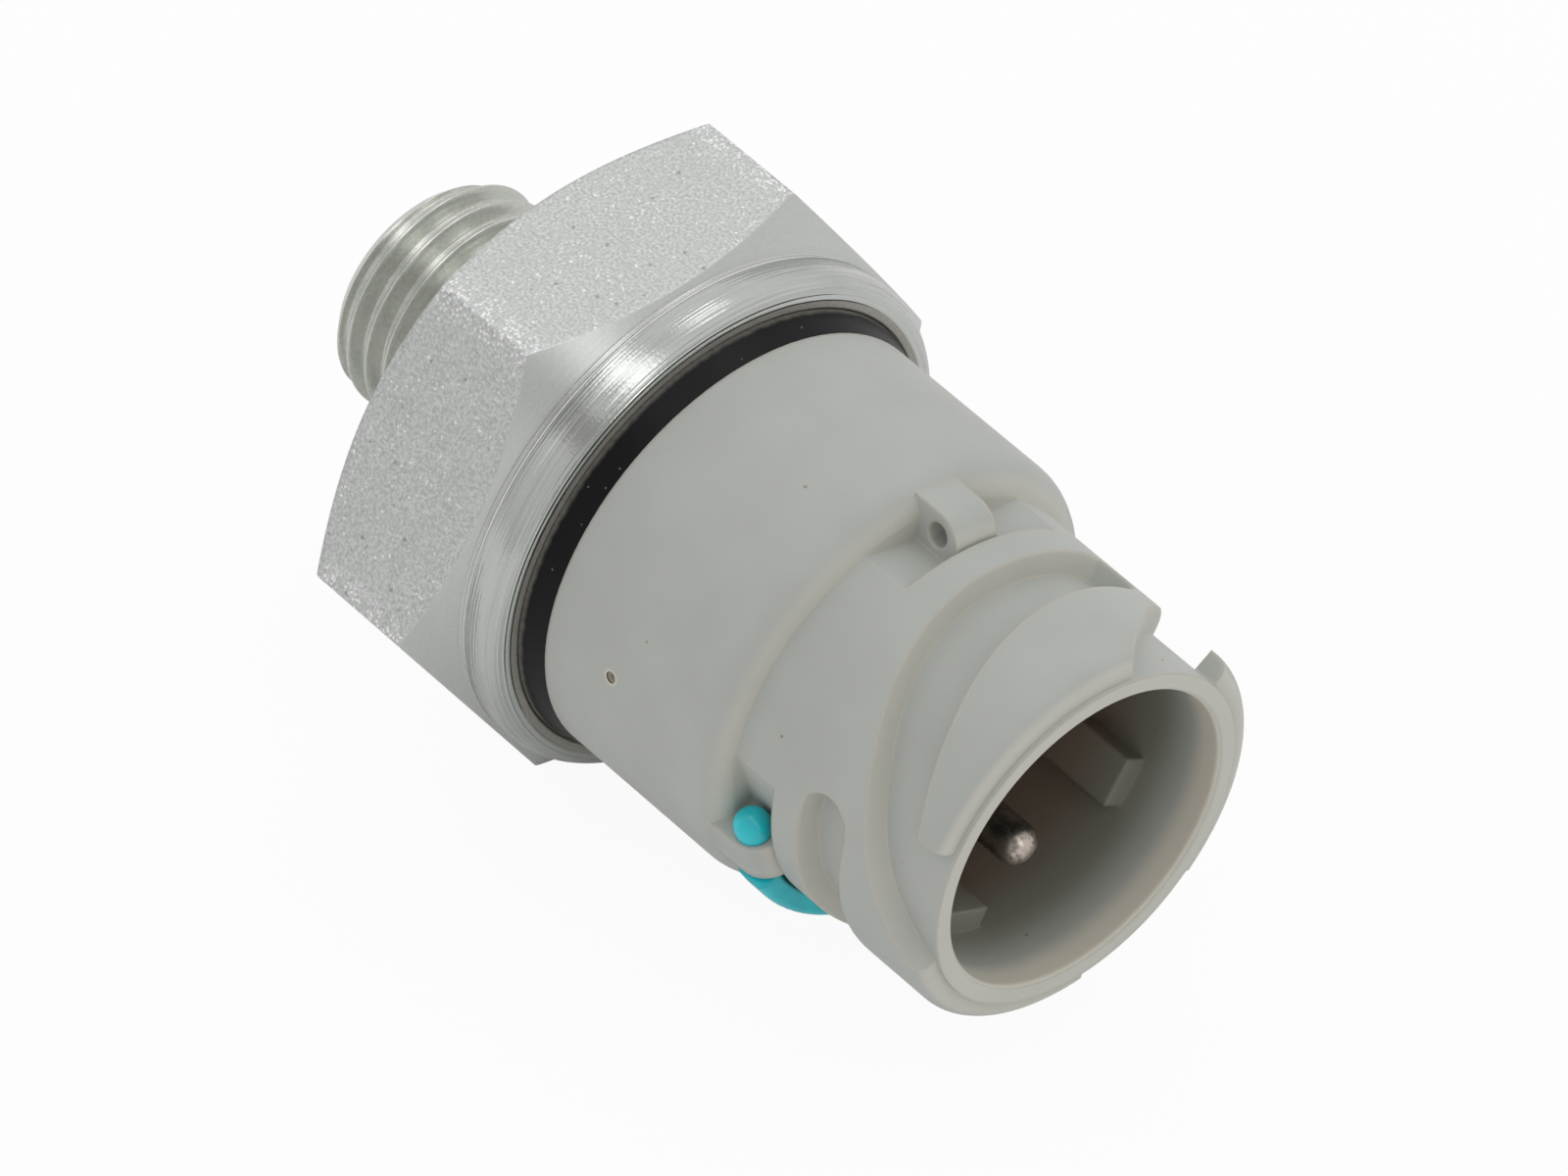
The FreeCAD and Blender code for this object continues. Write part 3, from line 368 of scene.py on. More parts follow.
@dataclass(frozen=True)
class BlastedZinc(Finish):
    """Plated steel with a blasted grain: painted glints as bright specks, thicker at the worn corners, and
    dark pits.
    """
    metal: float = 0.75
    edge_round: float = 0.35
    grain: float = 5.5
    grain_dark: float = 0.78
    grain_light: float = 1.12
    depth: float = 0.016
    cloud: float = 0.25
    cloud_dark: float = 0.86
    ragged_scale: float = 2.4
    ragged_reach: float = 0.30
    glint_colour: Colour = WHITE
    glint_strength: float = 0.8
    small: Dots = Dots(4.6, 0.44, 0.22)
    large: Dots = Dots(2.4, 0.30, 0.08)
    at_edge: Dots = Dots(4.4, 0.56, 0.60)
    crowd: float = 0.5
    pit: Colour = from_srgb(110, 106, 98)
    pit_strength: float = 0.5
    pits: Dots = Dots(1.9, 0.30, 0.10)
    corner_reach: float = 18.35
    corner_band: float = 0.8

    def paint(self, graph: Graph) -> None:
        """Paint the grain, the painted glints and the pits.

        Args:
            graph: the material's node tree.
        """
        place = graph.place()
        fine = graph.noise(place, self.grain, 4)
        tone = graph.mix(fine.rise(0.30, 0.70), toned(self.colour, self.grain_dark),
                         toned(self.colour, self.grain_light))
        cloud = graph.noise(place, self.cloud, 3).rise(0.35, 0.7)
        tone = graph.mix(cloud * 0.25, tone, toned(self.colour, self.cloud_dark))
        ragged = graph.bent(place, self.ragged_scale, self.ragged_reach)
        painted_glints = self.painted_glints(graph, place, ragged)
        # Painted glints: white specks in the colour stand in for the blasted grain catching the light.
        tone = graph.mix(painted_glints * self.glint_strength, tone, self.glint_colour)
        tone = graph.mix(graph.specks(ragged, self.pits) * self.pit_strength, tone, self.pit)
        height = fine * 0.8 + graph.noise(place, self.grain * 2.2, 2) * 0.4
        graph.surface({"Base Color": tone, "Metallic": self.metal, "Roughness": self.roughness,
                       "Normal": graph.bump(height, self.depth, graph.soft_normal(self.edge_round))})

    def painted_glints(self, graph: Graph, place: Signal, ragged: Signal) -> Signal:
        """Make the mask of the painted glints: bright specks that stand in for facets of the grain catching
        the light.

        Args:
            graph: the material's node tree.
            place: place in millimetres.
            ragged: the same place, pushed about.

        Returns:
            1 in a painted glint and 0 elsewhere.
        """
        _, y, z = graph.parts(place)
        # More painted glints near the worn corners of the hexagon.
        glint_mask = from_axis(y, z).rise(self.corner_reach - self.corner_band, self.corner_reach)
        crowd = graph.noise(place, self.crowd, 2).rise(0.42, 0.68)
        small = graph.specks(ragged, self.small) * (crowd * 0.7 + 0.3)
        large = graph.specks(ragged, self.large)
        at_edge = graph.specks(ragged, self.at_edge) * glint_mask
        return (small + large + at_edge).at_most(1.0)


@dataclass(frozen=True)
class TurnedZinc(Finish):
    """Plated steel with the fine marks of turning round the axis, and edges painted brighter, for wear and as
    a painted highlight.
    """
    marks: float = 9.0
    marks_round: float = 0.12
    depth: float = 0.004
    edge_round: float = 0.12
    metal: float = 0.9
    streak: float = 0.35
    streak_dark: float = 0.62
    mottle: float = 0.16
    grain: float = 5.0
    wear_and_highlight_colour: Colour = from_srgb(255, 255, 253)
    wear_and_highlight: float = 0.9
    feed: float = 0.22
    feed_share: float = 0.0
    coarse_feed: float = 0.36
    coarse_times: float = 2.5
    coarse_from: float = 12.2
    coarse_band: float = 0.2

    def paint(self, graph: Graph) -> None:
        """Paint the mottling, the rings of the tool and the edges, painted brighter for wear and as a painted
        highlight.

        Args:
            graph: the material's node tree.
        """
        place = graph.place()
        x, y, z = graph.parts(place)
        along = x - from_axis(y, z)
        stretched = graph.vector(along * self.marks, y * self.marks_round, z * self.marks_round)
        rings = graph.noise(stretched, 1.0, 3)
        grain = graph.noise(place, self.grain, 3)
        tone = graph.mix(grain.rise(0.3, 0.75), toned(self.colour, 1 - self.mottle), self.colour)
        streaks = rings.rise(0.40, 0.65) * self.streak
        tone = graph.mix(streaks, tone, toned(self.colour, self.streak_dark))
        soft = graph.soft_normal(self.edge_round)
        # Edges painted brighter: partly wear, partly a painted highlight along them.
        tone = graph.mix(graph.edge(soft).rise(0.02, 0.25) * self.wear_and_highlight, tone, self.wear_and_highlight_colour)
        height = rings + self.tool_feed(along, x) + grain * 0.3
        graph.surface({"Base Color": tone, "Metallic": self.metal, "Roughness": self.roughness,
                       "Normal": graph.bump(height, self.depth, soft)})

    def tool_feed(self, along: Signal, x: Signal) -> Signal:
        """Make the even waves that the tool's feed leaves, with coarser ones towards the front.

        Args:
            along: place along the turned face.
            x: place along the axis.

        Returns:
            The height of the waves.
        """
        fine = (along * (math.tau / self.feed)).sine() * self.feed_share
        front = x.rise(self.coarse_from, self.coarse_from + self.coarse_band)
        coarse = (along * (math.tau / self.coarse_feed)).sine() * front
        return fine + coarse * (self.feed_share * self.coarse_times)


@dataclass(frozen=True)
class MouldedGrey(Finish):
    """Grey moulding with a painted highlight on its edges, painted light near the plug's mouth and painted
    shade deeper in, a brown plug floor, brown specks, a parting line and a gate mark.
    """
    cloud: float = 0.18
    cloud_change: float = 0.03
    edge_round: float = 0.34
    edge_highlight_and_flash_colour: Colour = from_srgb(214, 211, 197)
    edge_highlight_share: float = 0.75
    rim_light_and_gate_ring_colour: Colour = from_srgb(226, 220, 204)
    front_light_share: float = 0.35
    floor_colour: Colour = from_srgb(132, 101, 82)
    socket_shade_colour: Colour = from_srgb(132, 132, 120)
    floor_place: float = 28.0
    mouth: float = 43.0
    socket_radius: float = 9.36
    socket_start: float = 26.5
    socket_full: float = 27.5
    speck_colour: Colour = from_srgb(120, 96, 66)
    speck_share: float = 0.55
    specks: Dots = Dots(0.55, 0.075, 0.15)
    parting_angle: float = 21.0
    parting_start: float = 27.0
    parting_full: float = 27.5
    parting_half: float = 0.07
    parting_share: float = 0.4
    gate_place: Place = (19.96, -13.16, 2.99)
    gate_radius: float = 0.32
    gate_colour: Colour = from_srgb(96, 76, 56)
    depth: float = 0.004
    gloss: float = 0.35
    light_share: float = 0.12
    light_depth: float = 0.0006
    light_tint: Colour = (1.0, 0.9, 0.7)

    def paint(self, graph: Graph) -> None:
        """Paint the grey, the painted highlight on its edges, the socket, the marks of the mould and the
        specks.

        Args:
            graph: the material's node tree.
        """
        place = graph.place()
        x, y, z = graph.parts(place)
        soft = graph.soft_normal(self.edge_round)
        cloud = graph.noise(place, self.cloud, 3).rise(0.3, 0.7)
        tone = graph.mix(cloud, toned(self.colour, 1 - self.cloud_change),
                         toned(self.colour, 1 + self.cloud_change))
        # Painted highlight: a warm pale tone along the edges stands in for light caught there.
        tone = graph.mix(graph.edge(soft).rise(0.01, 0.15) * self.edge_highlight_share, tone, self.edge_highlight_and_flash_colour)
        tone = self.socket(graph, x, from_axis(y, z), tone)
        # The parting line's flash takes the same pale colour.
        tone = graph.mix(self.parting(x, y, z) * self.parting_share, tone, self.edge_highlight_and_flash_colour)
        tone = self.gate(graph, place, tone)
        brown = graph.specks(graph.bent(place, 1.5, 0.3), self.specks)
        tone = graph.mix(brown * self.speck_share, tone, self.speck_colour)
        height = graph.noise(place, 2.2, 3) * 0.7 + graph.noise(place, 0.35, 1) * 1.2
        graph.surface({"Base Color": tone, "Roughness": self.roughness, "Specular IOR Level": self.gloss,
                       "Subsurface Weight": self.light_share, "Subsurface Radius": self.light_tint,
                       "Subsurface Scale": self.light_depth,
                       "Normal": graph.bump(height, self.depth, soft)})

    def socket(self, graph: Graph, x: Signal, reach: Signal, tone: Signal) -> Signal:
        """Paint the inside of the plug, with painted light near its mouth, painted shade deeper in and a
        brown tone towards its floor, and painted light on the faces that look to its front.

        Args:
            graph: the material's node tree.
            x: place along the axis.
            reach: distance from the axis.
            tone: the colour so far.

        Returns:
            The new colour.
        """
        # Bands in turn: painted light near the mouth, painted shade deeper in, then browner towards the
        # floor.
        bands = (
            Band(self.mouth - 2.4, self.mouth - 0.9, 0.85, self.rim_light_and_gate_ring_colour),
            Band(self.mouth - 1.6, self.mouth - 5.0, 0.92, self.socket_shade_colour),
            Band(self.mouth - 4.5, self.mouth - 9.0, 0.5, self.floor_colour),
            Band(self.floor_place + 4.5, self.floor_place + 0.1, 0.9, self.floor_colour),
        )
        inside = reach.rise(self.socket_radius + 0.15, self.socket_radius + 0.05)
        inside = inside * x.rise(self.socket_start, self.socket_full)
        for band in bands:
            tone = graph.mix(inside * x.rise(band.start, band.full) * band.share, tone, band.colour)
        # Painted light on the faces that look towards the mouth.
        facing, _, _ = graph.parts(graph.true_normal())
        front = facing.rise(0.6, 0.95) * reach.rise(self.socket_radius, self.socket_radius + 0.3)
        return graph.mix(front * self.front_light_share, tone, self.rim_light_and_gate_ring_colour)

    def parting(self, x: Signal, y: Signal, z: Signal) -> Signal:
        """Make the mask of the thin line that the two halves of the mould leave along the plug.

        Args:
            x, y, z: place in millimetres.

        Returns:
            1 on the line and 0 elsewhere.
        """
        angle = math.radians(self.parting_angle)
        gap = (z * math.cos(angle) - y * math.sin(angle)).size()
        outward = (y * math.cos(angle) + z * math.sin(angle)).size()
        outside = outward.rise(self.socket_radius + 0.6, self.socket_radius + 0.8)
        return gap.rise(self.parting_half, 0.02) * outside * x.rise(self.parting_start, self.parting_full)

    def gate(self, graph: Graph, place: Signal, tone: Signal) -> Signal:
        """Paint the mark of the moulding gate: a brown hole in a pale ring.

        Args:
            graph: the material's node tree.
            place: place in millimetres.
            tone: the colour so far.

        Returns:
            The new colour.
        """
        away = graph.blend("DISTANCE", place, self.gate_place, "Value")
        ring = away.rise(self.gate_radius * 1.7, self.gate_radius * 1.35)
        hole = away.rise(self.gate_radius * 1.12, self.gate_radius)
        return graph.mix(hole * 0.9, graph.mix(ring * 0.6, tone, self.rim_light_and_gate_ring_colour), self.gate_colour)


@dataclass(frozen=True)
class SoftPiece(Finish):
    """Plastic, rubber or ceramic with slight mottling, a fine grain and a painted highlight on its edges."""
    mottle: float = 0.08
    cloud: float = 0.8
    grain: float = 3.0
    depth: float = 0.004
    edge_round: float = 0.1
    edge_highlight_share: float = 0.25
    coat: float = 0.0
    gloss: float = 0.5

    def paint(self, graph: Graph) -> None:
        """Paint the mottling and a painted highlight that makes the edges slightly lighter.

        Args:
            graph: the material's node tree.
        """
        place = graph.place()
        soft = graph.soft_normal(self.edge_round)
        cloud = graph.noise(place, self.cloud, 3).rise(0.3, 0.7)
        tone = graph.mix(cloud, toned(self.colour, 1 - self.mottle), toned(self.colour, 1 + self.mottle))
        # Painted highlight: edges made lighter stand in for light caught there.
        edges = graph.edge(soft).rise(0.02, 0.4) * self.edge_highlight_share
        tone = graph.mix(edges, tone, toned(self.colour, 1.4, 0.01))
        graph.surface({"Base Color": tone, "Roughness": self.roughness, "Coat Weight": self.coat,
                       "Specular IOR Level": self.gloss,
                       "Normal": graph.bump(graph.noise(place, self.grain, 3), self.depth, soft)})


@dataclass(frozen=True)
class SealRubber(Finish):
    """Black rubber with small pale specks, and a dusty rim where it comes out of the rolled lip."""
    dust: Colour = from_srgb(122, 119, 112)
    rim_place: float = 13.3
    rim_width: float = 0.34
    rim_waves: float = 0.25
    speck: Colour = from_srgb(150, 148, 142)
    speck_share: float = 0.5
    specks: Dots = Dots(2.6, 0.20, 0.10)
    grain: float = 4.0
    grain_light: float = 1.5
    depth: float = 0.006
    edge_round: float = 0.15
    gloss: float = 0.2

    def paint(self, graph: Graph) -> None:
        """Paint the grain, the specks and the dusty rim.

        Args:
            graph: the material's node tree.
        """
        place = graph.place()
        x, _, _ = graph.parts(place)
        grain = graph.noise(place, self.grain, 3)
        tone = graph.mix(grain.rise(0.35, 0.7), self.colour, toned(self.colour, self.grain_light))
        pale = graph.specks(graph.bent(place, 2.0, 0.2), self.specks)
        tone = graph.mix(pale * self.speck_share, tone, self.speck)
        along = x + (graph.noise(place, 2.0, 4) - 0.5) * self.rim_waves
        rim = along.rise(self.rim_place + self.rim_width, self.rim_place)
        dusty = rim * (grain.rise(0.25, 0.6) * 0.3 + 0.6)
        tone = graph.mix(dusty, tone, self.dust)
        graph.surface({"Base Color": tone, "Roughness": dusty * 0.3 + self.roughness,
                       "Specular IOR Level": self.gloss,
                       "Normal": graph.bump(grain, self.depth, graph.soft_normal(self.edge_round))})


@dataclass(frozen=True)
class DullMetal(Finish):
    """Tinned or plain brass with tarnish in patches and a painted highlight on the tip."""
    metal: float = 0.8
    tarnish: Colour = from_srgb(96, 94, 88)
    patch: float = 0.9
    bright: Colour = from_srgb(228, 214, 202)
    bright_from: float = 38.2
    bright_band: float = 0.5
    grain: float = 6.0
    depth: float = 0.003
    edge_round: float = 0.1

    def paint(self, graph: Graph) -> None:
        """Paint the tarnish and the painted highlight on the tip.

        Args:
            graph: the material's node tree.
        """
        place = graph.place()
        x, _, _ = graph.parts(place)
        patches = graph.noise(place, self.patch, 4)
        tone = graph.mix(patches.rise(0.35, 0.65), self.colour, self.tarnish)
        # Painted highlight: a patchy bright tone on the tip stands in for light catching it.
        glint_mask = graph.noise(place, 3.0, 3).rise(0.34, 0.55)
        tip = x.rise(self.bright_from, self.bright_from + self.bright_band)
        tone = graph.mix(tip * (glint_mask * 0.5 + 0.2), tone, self.bright)
        fine = graph.noise(place, self.grain, 2)
        graph.surface({"Base Color": tone, "Metallic": self.metal,
                       "Roughness": patches * 0.2 + self.roughness,
                       "Normal": graph.bump(fine, self.depth, graph.soft_normal(self.edge_round))})


class PortFinish(IntEnum):
    """Places of the finishes on the steel body."""
    TURNED = 0
    BLASTED = 1
    COLLAR = 2
    THREAD = 3
    LIP = 4
    EDGE_HIGHLIGHT = 5


@dataclass(frozen=True)
class ThreadSizes:
    """Metric thread M14 x 1.5, right-handed, cut into the shank; crest and flank are shares of the pitch."""
    crest: float = 7.0
    depth: float = 0.812
    pitch: float = 1.5
    crest_half: float = 1 / 16
    flank: float = 0.3125
    start: float = -11.5
    end: float = -0.9
    root_radius: float = 5.9
    relief_start: float = -2.0
    phase: float = 0.16
    rows_in_turn: int = 16

    def radius(self, turn: np.ndarray) -> np.ndarray:
        """Find the radius of the thread at a place in its pitch.

        Args:
            turn: place in the pitch, from 0 to 1, with the crest at 0.

        Returns:
            The radius over the helix.
        """
        away = np.abs((turn + 0.5) % 1.0 - 0.5)
        fall = np.clip((away - self.crest_half) / self.flank, 0.0, 1.0)
        return self.crest - self.depth * fall


@dataclass(frozen=True)
class PortSizes:
    """Sizes of the steel body, as the frame has them."""
    half_flats: float = 16.0
    corner_round: float = 0.45
    corner_half_angle: float = 0.701
    hex_length: float = 10.6
    chamfer_radius: float = 15.2
    chamfer_slope: float = math.tan(math.radians(30))
    recess_radius: float = 7.4
    recess_depth: float = 0.4
    collar_radius: float = 15.7
    foot_radius: float = 15.55
    collar_start: float = 10.70
    collar_end: float = 13.3
    collar_round: float = 1.2
    rear_chamfer_depth: float = 0.06
    rear_chamfer_length: float = 0.16
    groove_radius: float = 15.15
    lip_radius: float = 14.0
    lip_chamfer: float = 0.1
    lip_back: float = 12.5
    bore: float = 14.6
    seat: float = 9.4
    cup_radius: float = 9.6
    cup_floor: float = 4.0
    ring_floor: float = 3.5
    ring_outer: float = 8.70
    ring_inner: float = 5.95
    port_radius: float = 2.6
    port_chamfer: float = 0.3
    port_step: float = -1.0
    throat_radius: float = 1.6
    thread: ThreadSizes = field(default_factory=ThreadSizes)


class PolarSurface:
    """Quads in rings round the X axis, all with the same angles."""

    WELD = 1e-7

    def __init__(self, angles: np.ndarray) -> None:
        """Start without any ring.

        Args:
            angles: angle of each point in a ring, in degrees.
        """
        self.angles = np.radians(angles)
        self.points: list[np.ndarray] = []
        self.quads: list[tuple[int, int, int, int]] = []
        self.finishes: list[int] = []

    def ring(self, x: Reach, radius: Reach) -> int:
        """Add a ring of points.

        Args:
            x: place along the axis, one for all angles or one for each.
            radius: distance from the axis, likewise.

        Returns:
            The number of the ring.
        """
        x = np.broadcast_to(x, self.angles.shape)
        ring = np.stack([x, radius * np.cos(self.angles), radius * np.sin(self.angles)], 1)
        self.points.append(ring * MM)
        return len(self.points) - 1

    def join(self, first: int, second: int, finish: int, lead: int = 0) -> None:
        """Add the quads between two rings.

        Args:
            first, second: numbers of the rings.
            finish: number of the material.
            lead: how many rings further on a helix is after one turn.
        """
        count = len(self.angles)
        for column in range(count):
            following = (column + 1) % count
            step = lead if following == 0 else 0
            if second + step >= len(self.points):
                continue
            self.quads.append((first * count + column, (first + step) * count + following,
                               (second + step) * count + following, second * count + column))
            self.finishes.append(finish)

    def chain(self, previous: int, profile: Sequence[tuple[Reach, Reach]], finish: int) -> int:
        """Join a row of new rings to a ring.

        Args:
            previous: number of the ring to start from.
            profile: place along the axis and radius of each new ring.
            finish: number of the material.

        Returns:
            The number of the last ring.
        """
        for x, radius in profile:
            current = self.ring(x, radius)
            self.join(previous, current, finish)
            previous = current
        return previous

    def build(self, name: str, smooth_below: float) -> bpy.types.Object:
        """Make the object.

        Args:
            name: name of the piece.
            smooth_below: edges that turn by less than this, in degrees, are smooth.

        Returns:
            The new object, linked to the scene.
        """
        mesh = bpy.data.meshes.new(name)
        mesh.from_pydata(np.concatenate(self.points).tolist(), [], self.quads)
        mesh.polygons.foreach_set("material_index", self.finishes)
        work = bmesh.new()
        work.from_mesh(mesh)
        bmesh.ops.remove_doubles(work, verts=work.verts, dist=self.WELD)
        loose = [v for v in work.verts if not v.link_faces]
        bmesh.ops.delete(work, geom=loose, context="VERTS")
        bmesh.ops.recalc_face_normals(work, faces=work.faces)
        work.to_mesh(mesh)
        work.free()
        mesh.polygons.foreach_set("use_smooth", [True] * len(mesh.polygons))
        mesh.set_sharp_from_angle(angle=math.radians(smooth_below))
        piece = bpy.data.objects.new(name, mesh)
        bpy.context.scene.collection.objects.link(piece)
        return piece


class PortBody:
    """The steel body with its helical thread, replacing the plain one of the frame."""

    NEAR_CORNER = (-0.70, -0.53, -0.35, -0.18, 0.0, 0.18, 0.35, 0.53, 0.70)
    EVEN_STEP = 1.875
    LEAST_STEP = 0.3
    FINISHES: Mapping[PortFinish, Finish] = {
        PortFinish.THREAD: TurnedZinc("thread_zinc", from_srgb(214, 216, 209), 0.26, marks=3.0, depth=0.004,
                                      edge_round=0.10, metal=0.95, streak=0.25),
        PortFinish.TURNED: TurnedZinc("turned_zinc", from_srgb(206, 208, 204), 0.22, marks=5.0, streak=0.08,
                                      metal=0.75, mottle=0.06),
        PortFinish.BLASTED: BlastedZinc("blasted_zinc", from_srgb(208, 210, 208), 0.5),
        PortFinish.COLLAR: TurnedZinc("rolled_zinc", from_srgb(200, 202, 198), 0.12, marks=4.5, depth=0.030,
                                      edge_round=0.08, metal=1.0, streak=0.30, mottle=0.04,
                                      feed_share=0.16),
        # Darker finish of the lip, also put on the groove floor as painted shade.
        PortFinish.LIP: TurnedZinc("lip_and_groove_shade_zinc", from_srgb(176, 173, 165), 0.45, marks=4.0, depth=0.010,
                                   edge_round=0.05, metal=0.5, streak=0.20, mottle=0.16),
        # Near-white band on the collar's rear chamfer: a painted highlight for the bright line along that
        # edge.
        PortFinish.EDGE_HIGHLIGHT: TurnedZinc("painted_highlight_zinc", from_srgb(244, 245, 242), 0.45, edge_round=0.03,
                                       metal=0.2, streak=0.10, mottle=0.05),
    }

    def __init__(self, sizes: PortSizes) -> None:
        """Lay out the angles of the surface.

        Args:
            sizes: sizes of the steel body.
        """
        self.sizes = sizes
        self.angles = self._angles()
        self.surface = PolarSurface(self.angles)

    def _angles(self) -> np.ndarray:
        """Make even angles, with more of them round the six corners.

        Returns:
            The angles in degrees, rising from 0.
        """
        fine = np.array(self.NEAR_CORNER)
        corners = np.concatenate([corner + fine for corner in range(0, 360, 60)])
        even = np.arange(0, 360, self.EVEN_STEP)
        keep = [a for a in even if np.min(np.abs((corners - a + 180) % 360 - 180)) > self.LEAST_STEP]
        return np.unique(np.round(np.concatenate([keep, corners % 360]), 6))

    def _hexagon(self) -> np.ndarray:
        """Find the radius of the hexagon with rounded corners.

        Returns:
            The radius at every angle.
        """
        s = self.sizes
        across_corner = math.cos(math.radians(30))
        from_flat = np.radians(self.angles % 60 - 30)
        from_corner = np.radians((self.angles + 30) % 60 - 30)
        centre = (s.half_flats - s.corner_round) / across_corner
        inside = s.corner_round ** 2 - (centre * np.sin(from_corner)) ** 2
        arc = centre * np.cos(from_corner) + np.sqrt(np.maximum(inside, 0.0))
        rounded = np.abs(from_corner) < math.radians(s.corner_half_angle)
        return np.where(rounded, np.minimum(arc, s.half_flats / across_corner),
                        s.half_flats / np.cos(from_flat))

    def _port(self) -> int:
        """Add the pressure port and the end face of the shank.

        Returns:
            The number of the first ring, at the floor of the pocket.
        """
        s, t = self.sizes, self.sizes.thread
        throat = self.surface.ring(s.cup_floor, s.throat_radius)
        self.surface.chain(throat, [(s.port_step, s.throat_radius), (s.port_step, s.port_radius),
                                    (t.start + s.port_chamfer, s.port_radius),
                                    (t.start, s.port_radius + s.port_chamfer),
                                    (t.start, t.root_radius)], PortFinish.TURNED)
        return throat

    def _thread(self) -> None:
        """Add the helical rows between the two ends of the thread."""
        thread = self.sizes.thread
        turn = self.angles / 360
        step = thread.pitch / thread.rows_in_turn
        rows = math.ceil((thread.end - thread.start) / step) + 3
        first = len(self.surface.points)
        for row in range(-thread.rows_in_turn, rows):
            x = thread.start + step * row + thread.pitch * turn
            inside = np.clip(x, thread.start, thread.end)
            phase = row / thread.rows_in_turn + thread.phase
            limit = np.minimum(thread.root_radius + inside - thread.start,
                               thread.crest - np.maximum(inside - thread.relief_start, 0.0))
            radius = np.minimum(thread.radius(np.full_like(x, phase)), limit)
            self.surface.ring(inside, radius)
        last = len(self.surface.points) - 1
        for ring in range(first, last):
            self.surface.join(ring, ring + 1, PortFinish.THREAD, thread.rows_in_turn)

    def _faces(self) -> int:
        """Add the relief, the seating face, the hexagon and the neck in front of it.

        Returns:
            The number of the last ring.
        """
        s, t = self.sizes, self.sizes.thread
        hexagon = self._hexagon()
        edge = (hexagon - s.chamfer_radius) * s.chamfer_slope
        foot = s.hex_length - (s.foot_radius - s.chamfer_radius) * s.chamfer_slope
        end = self.surface.ring(t.end, t.root_radius)
        end = self.surface.chain(end, [(s.recess_depth, t.root_radius), (s.recess_depth, s.recess_radius),
                                       (0.0, s.recess_radius), (0.0, s.chamfer_radius),
                                       (edge, hexagon)], PortFinish.TURNED)
        end = self.surface.chain(end, [(s.hex_length - edge, hexagon)], PortFinish.BLASTED)
        return self.surface.chain(end, [(foot, s.foot_radius), (s.hex_length, s.foot_radius),
                                        (s.hex_length, s.groove_radius)], PortFinish.TURNED)

    def _collar(self, end: int) -> int:
        """Add the collar with its rolled lip.

        Args:
            end: number of the ring to start from.

        Returns:
            The number of the last ring.
        """
        s = self.sizes
        rolled = quarter_round(s.collar_end, s.collar_radius, s.collar_round)
        # The groove floor takes the darker lip finish: painted shade for the thin dark line between hexagon
        # and collar.
        end = self.surface.chain(end, [(s.collar_start, s.groove_radius)], PortFinish.LIP)
        end = self.surface.chain(end, [(s.collar_start, s.collar_radius - s.rear_chamfer_depth)], PortFinish.COLLAR)
        # The collar's rear chamfer takes the painted highlight finish.
        end = self.surface.chain(end, [(s.collar_start + s.rear_chamfer_length, s.collar_radius)],
                                 PortFinish.EDGE_HIGHLIGHT)
        end = self.surface.chain(end, rolled, PortFinish.COLLAR)
        return self.surface.chain(end, [(s.collar_end, s.lip_radius + s.lip_chamfer),
                                        (s.collar_end - s.lip_chamfer, s.lip_radius),
                                        (s.lip_back, s.lip_radius), (s.lip_back, s.bore)], PortFinish.LIP)

    def _pocket(self, end: int) -> int:
        """Add the pocket for the pressure cell, with the groove for its rubber ring.

        Args:
            end: number of the ring to start from.

        Returns:
            The number of the last ring.
        """
        s = self.sizes
        return self.surface.chain(end, [(s.seat, s.bore), (s.seat, s.cup_radius), (s.cup_floor, s.cup_radius),
                                        (s.cup_floor, s.ring_outer), (s.ring_floor, s.ring_outer),
                                        (s.ring_floor, s.ring_inner), (s.cup_floor, s.ring_inner)],
                                  PortFinish.TURNED)

    def build(self) -> bpy.types.Object:
        """Build the whole surface.

        Returns:
            The finished piece.
        """
        throat = self._port()
        self._thread()
        end = self._pocket(self._collar(self._faces()))
        self.surface.join(end, throat, PortFinish.TURNED)
        piece = self.surface.build("steel_body", smooth_below=24.0)
        log.info("steel_body: %d faces", len(piece.data.polygons))
        return piece

    def dress(self, piece: bpy.types.Object) -> None:
        """Give the piece its finishes and its place in the frame.

        Args:
            piece: the built piece.
        """
        for part in PortFinish:
            piece.data.materials.append(self.FINISHES[part].material())
        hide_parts("port_body")
        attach(piece, "root")


@dataclass(frozen=True)
class PinSizes:
    """Sizes of the contact pins in the plug."""
    radius: float = 1.25
    circle: float = 4.19
    angles: tuple[float, ...] = (84.0, 174.0, 264.0)
    tail: float = 21.0
    tip: float = 38.9
    tip_round: float = 1.1


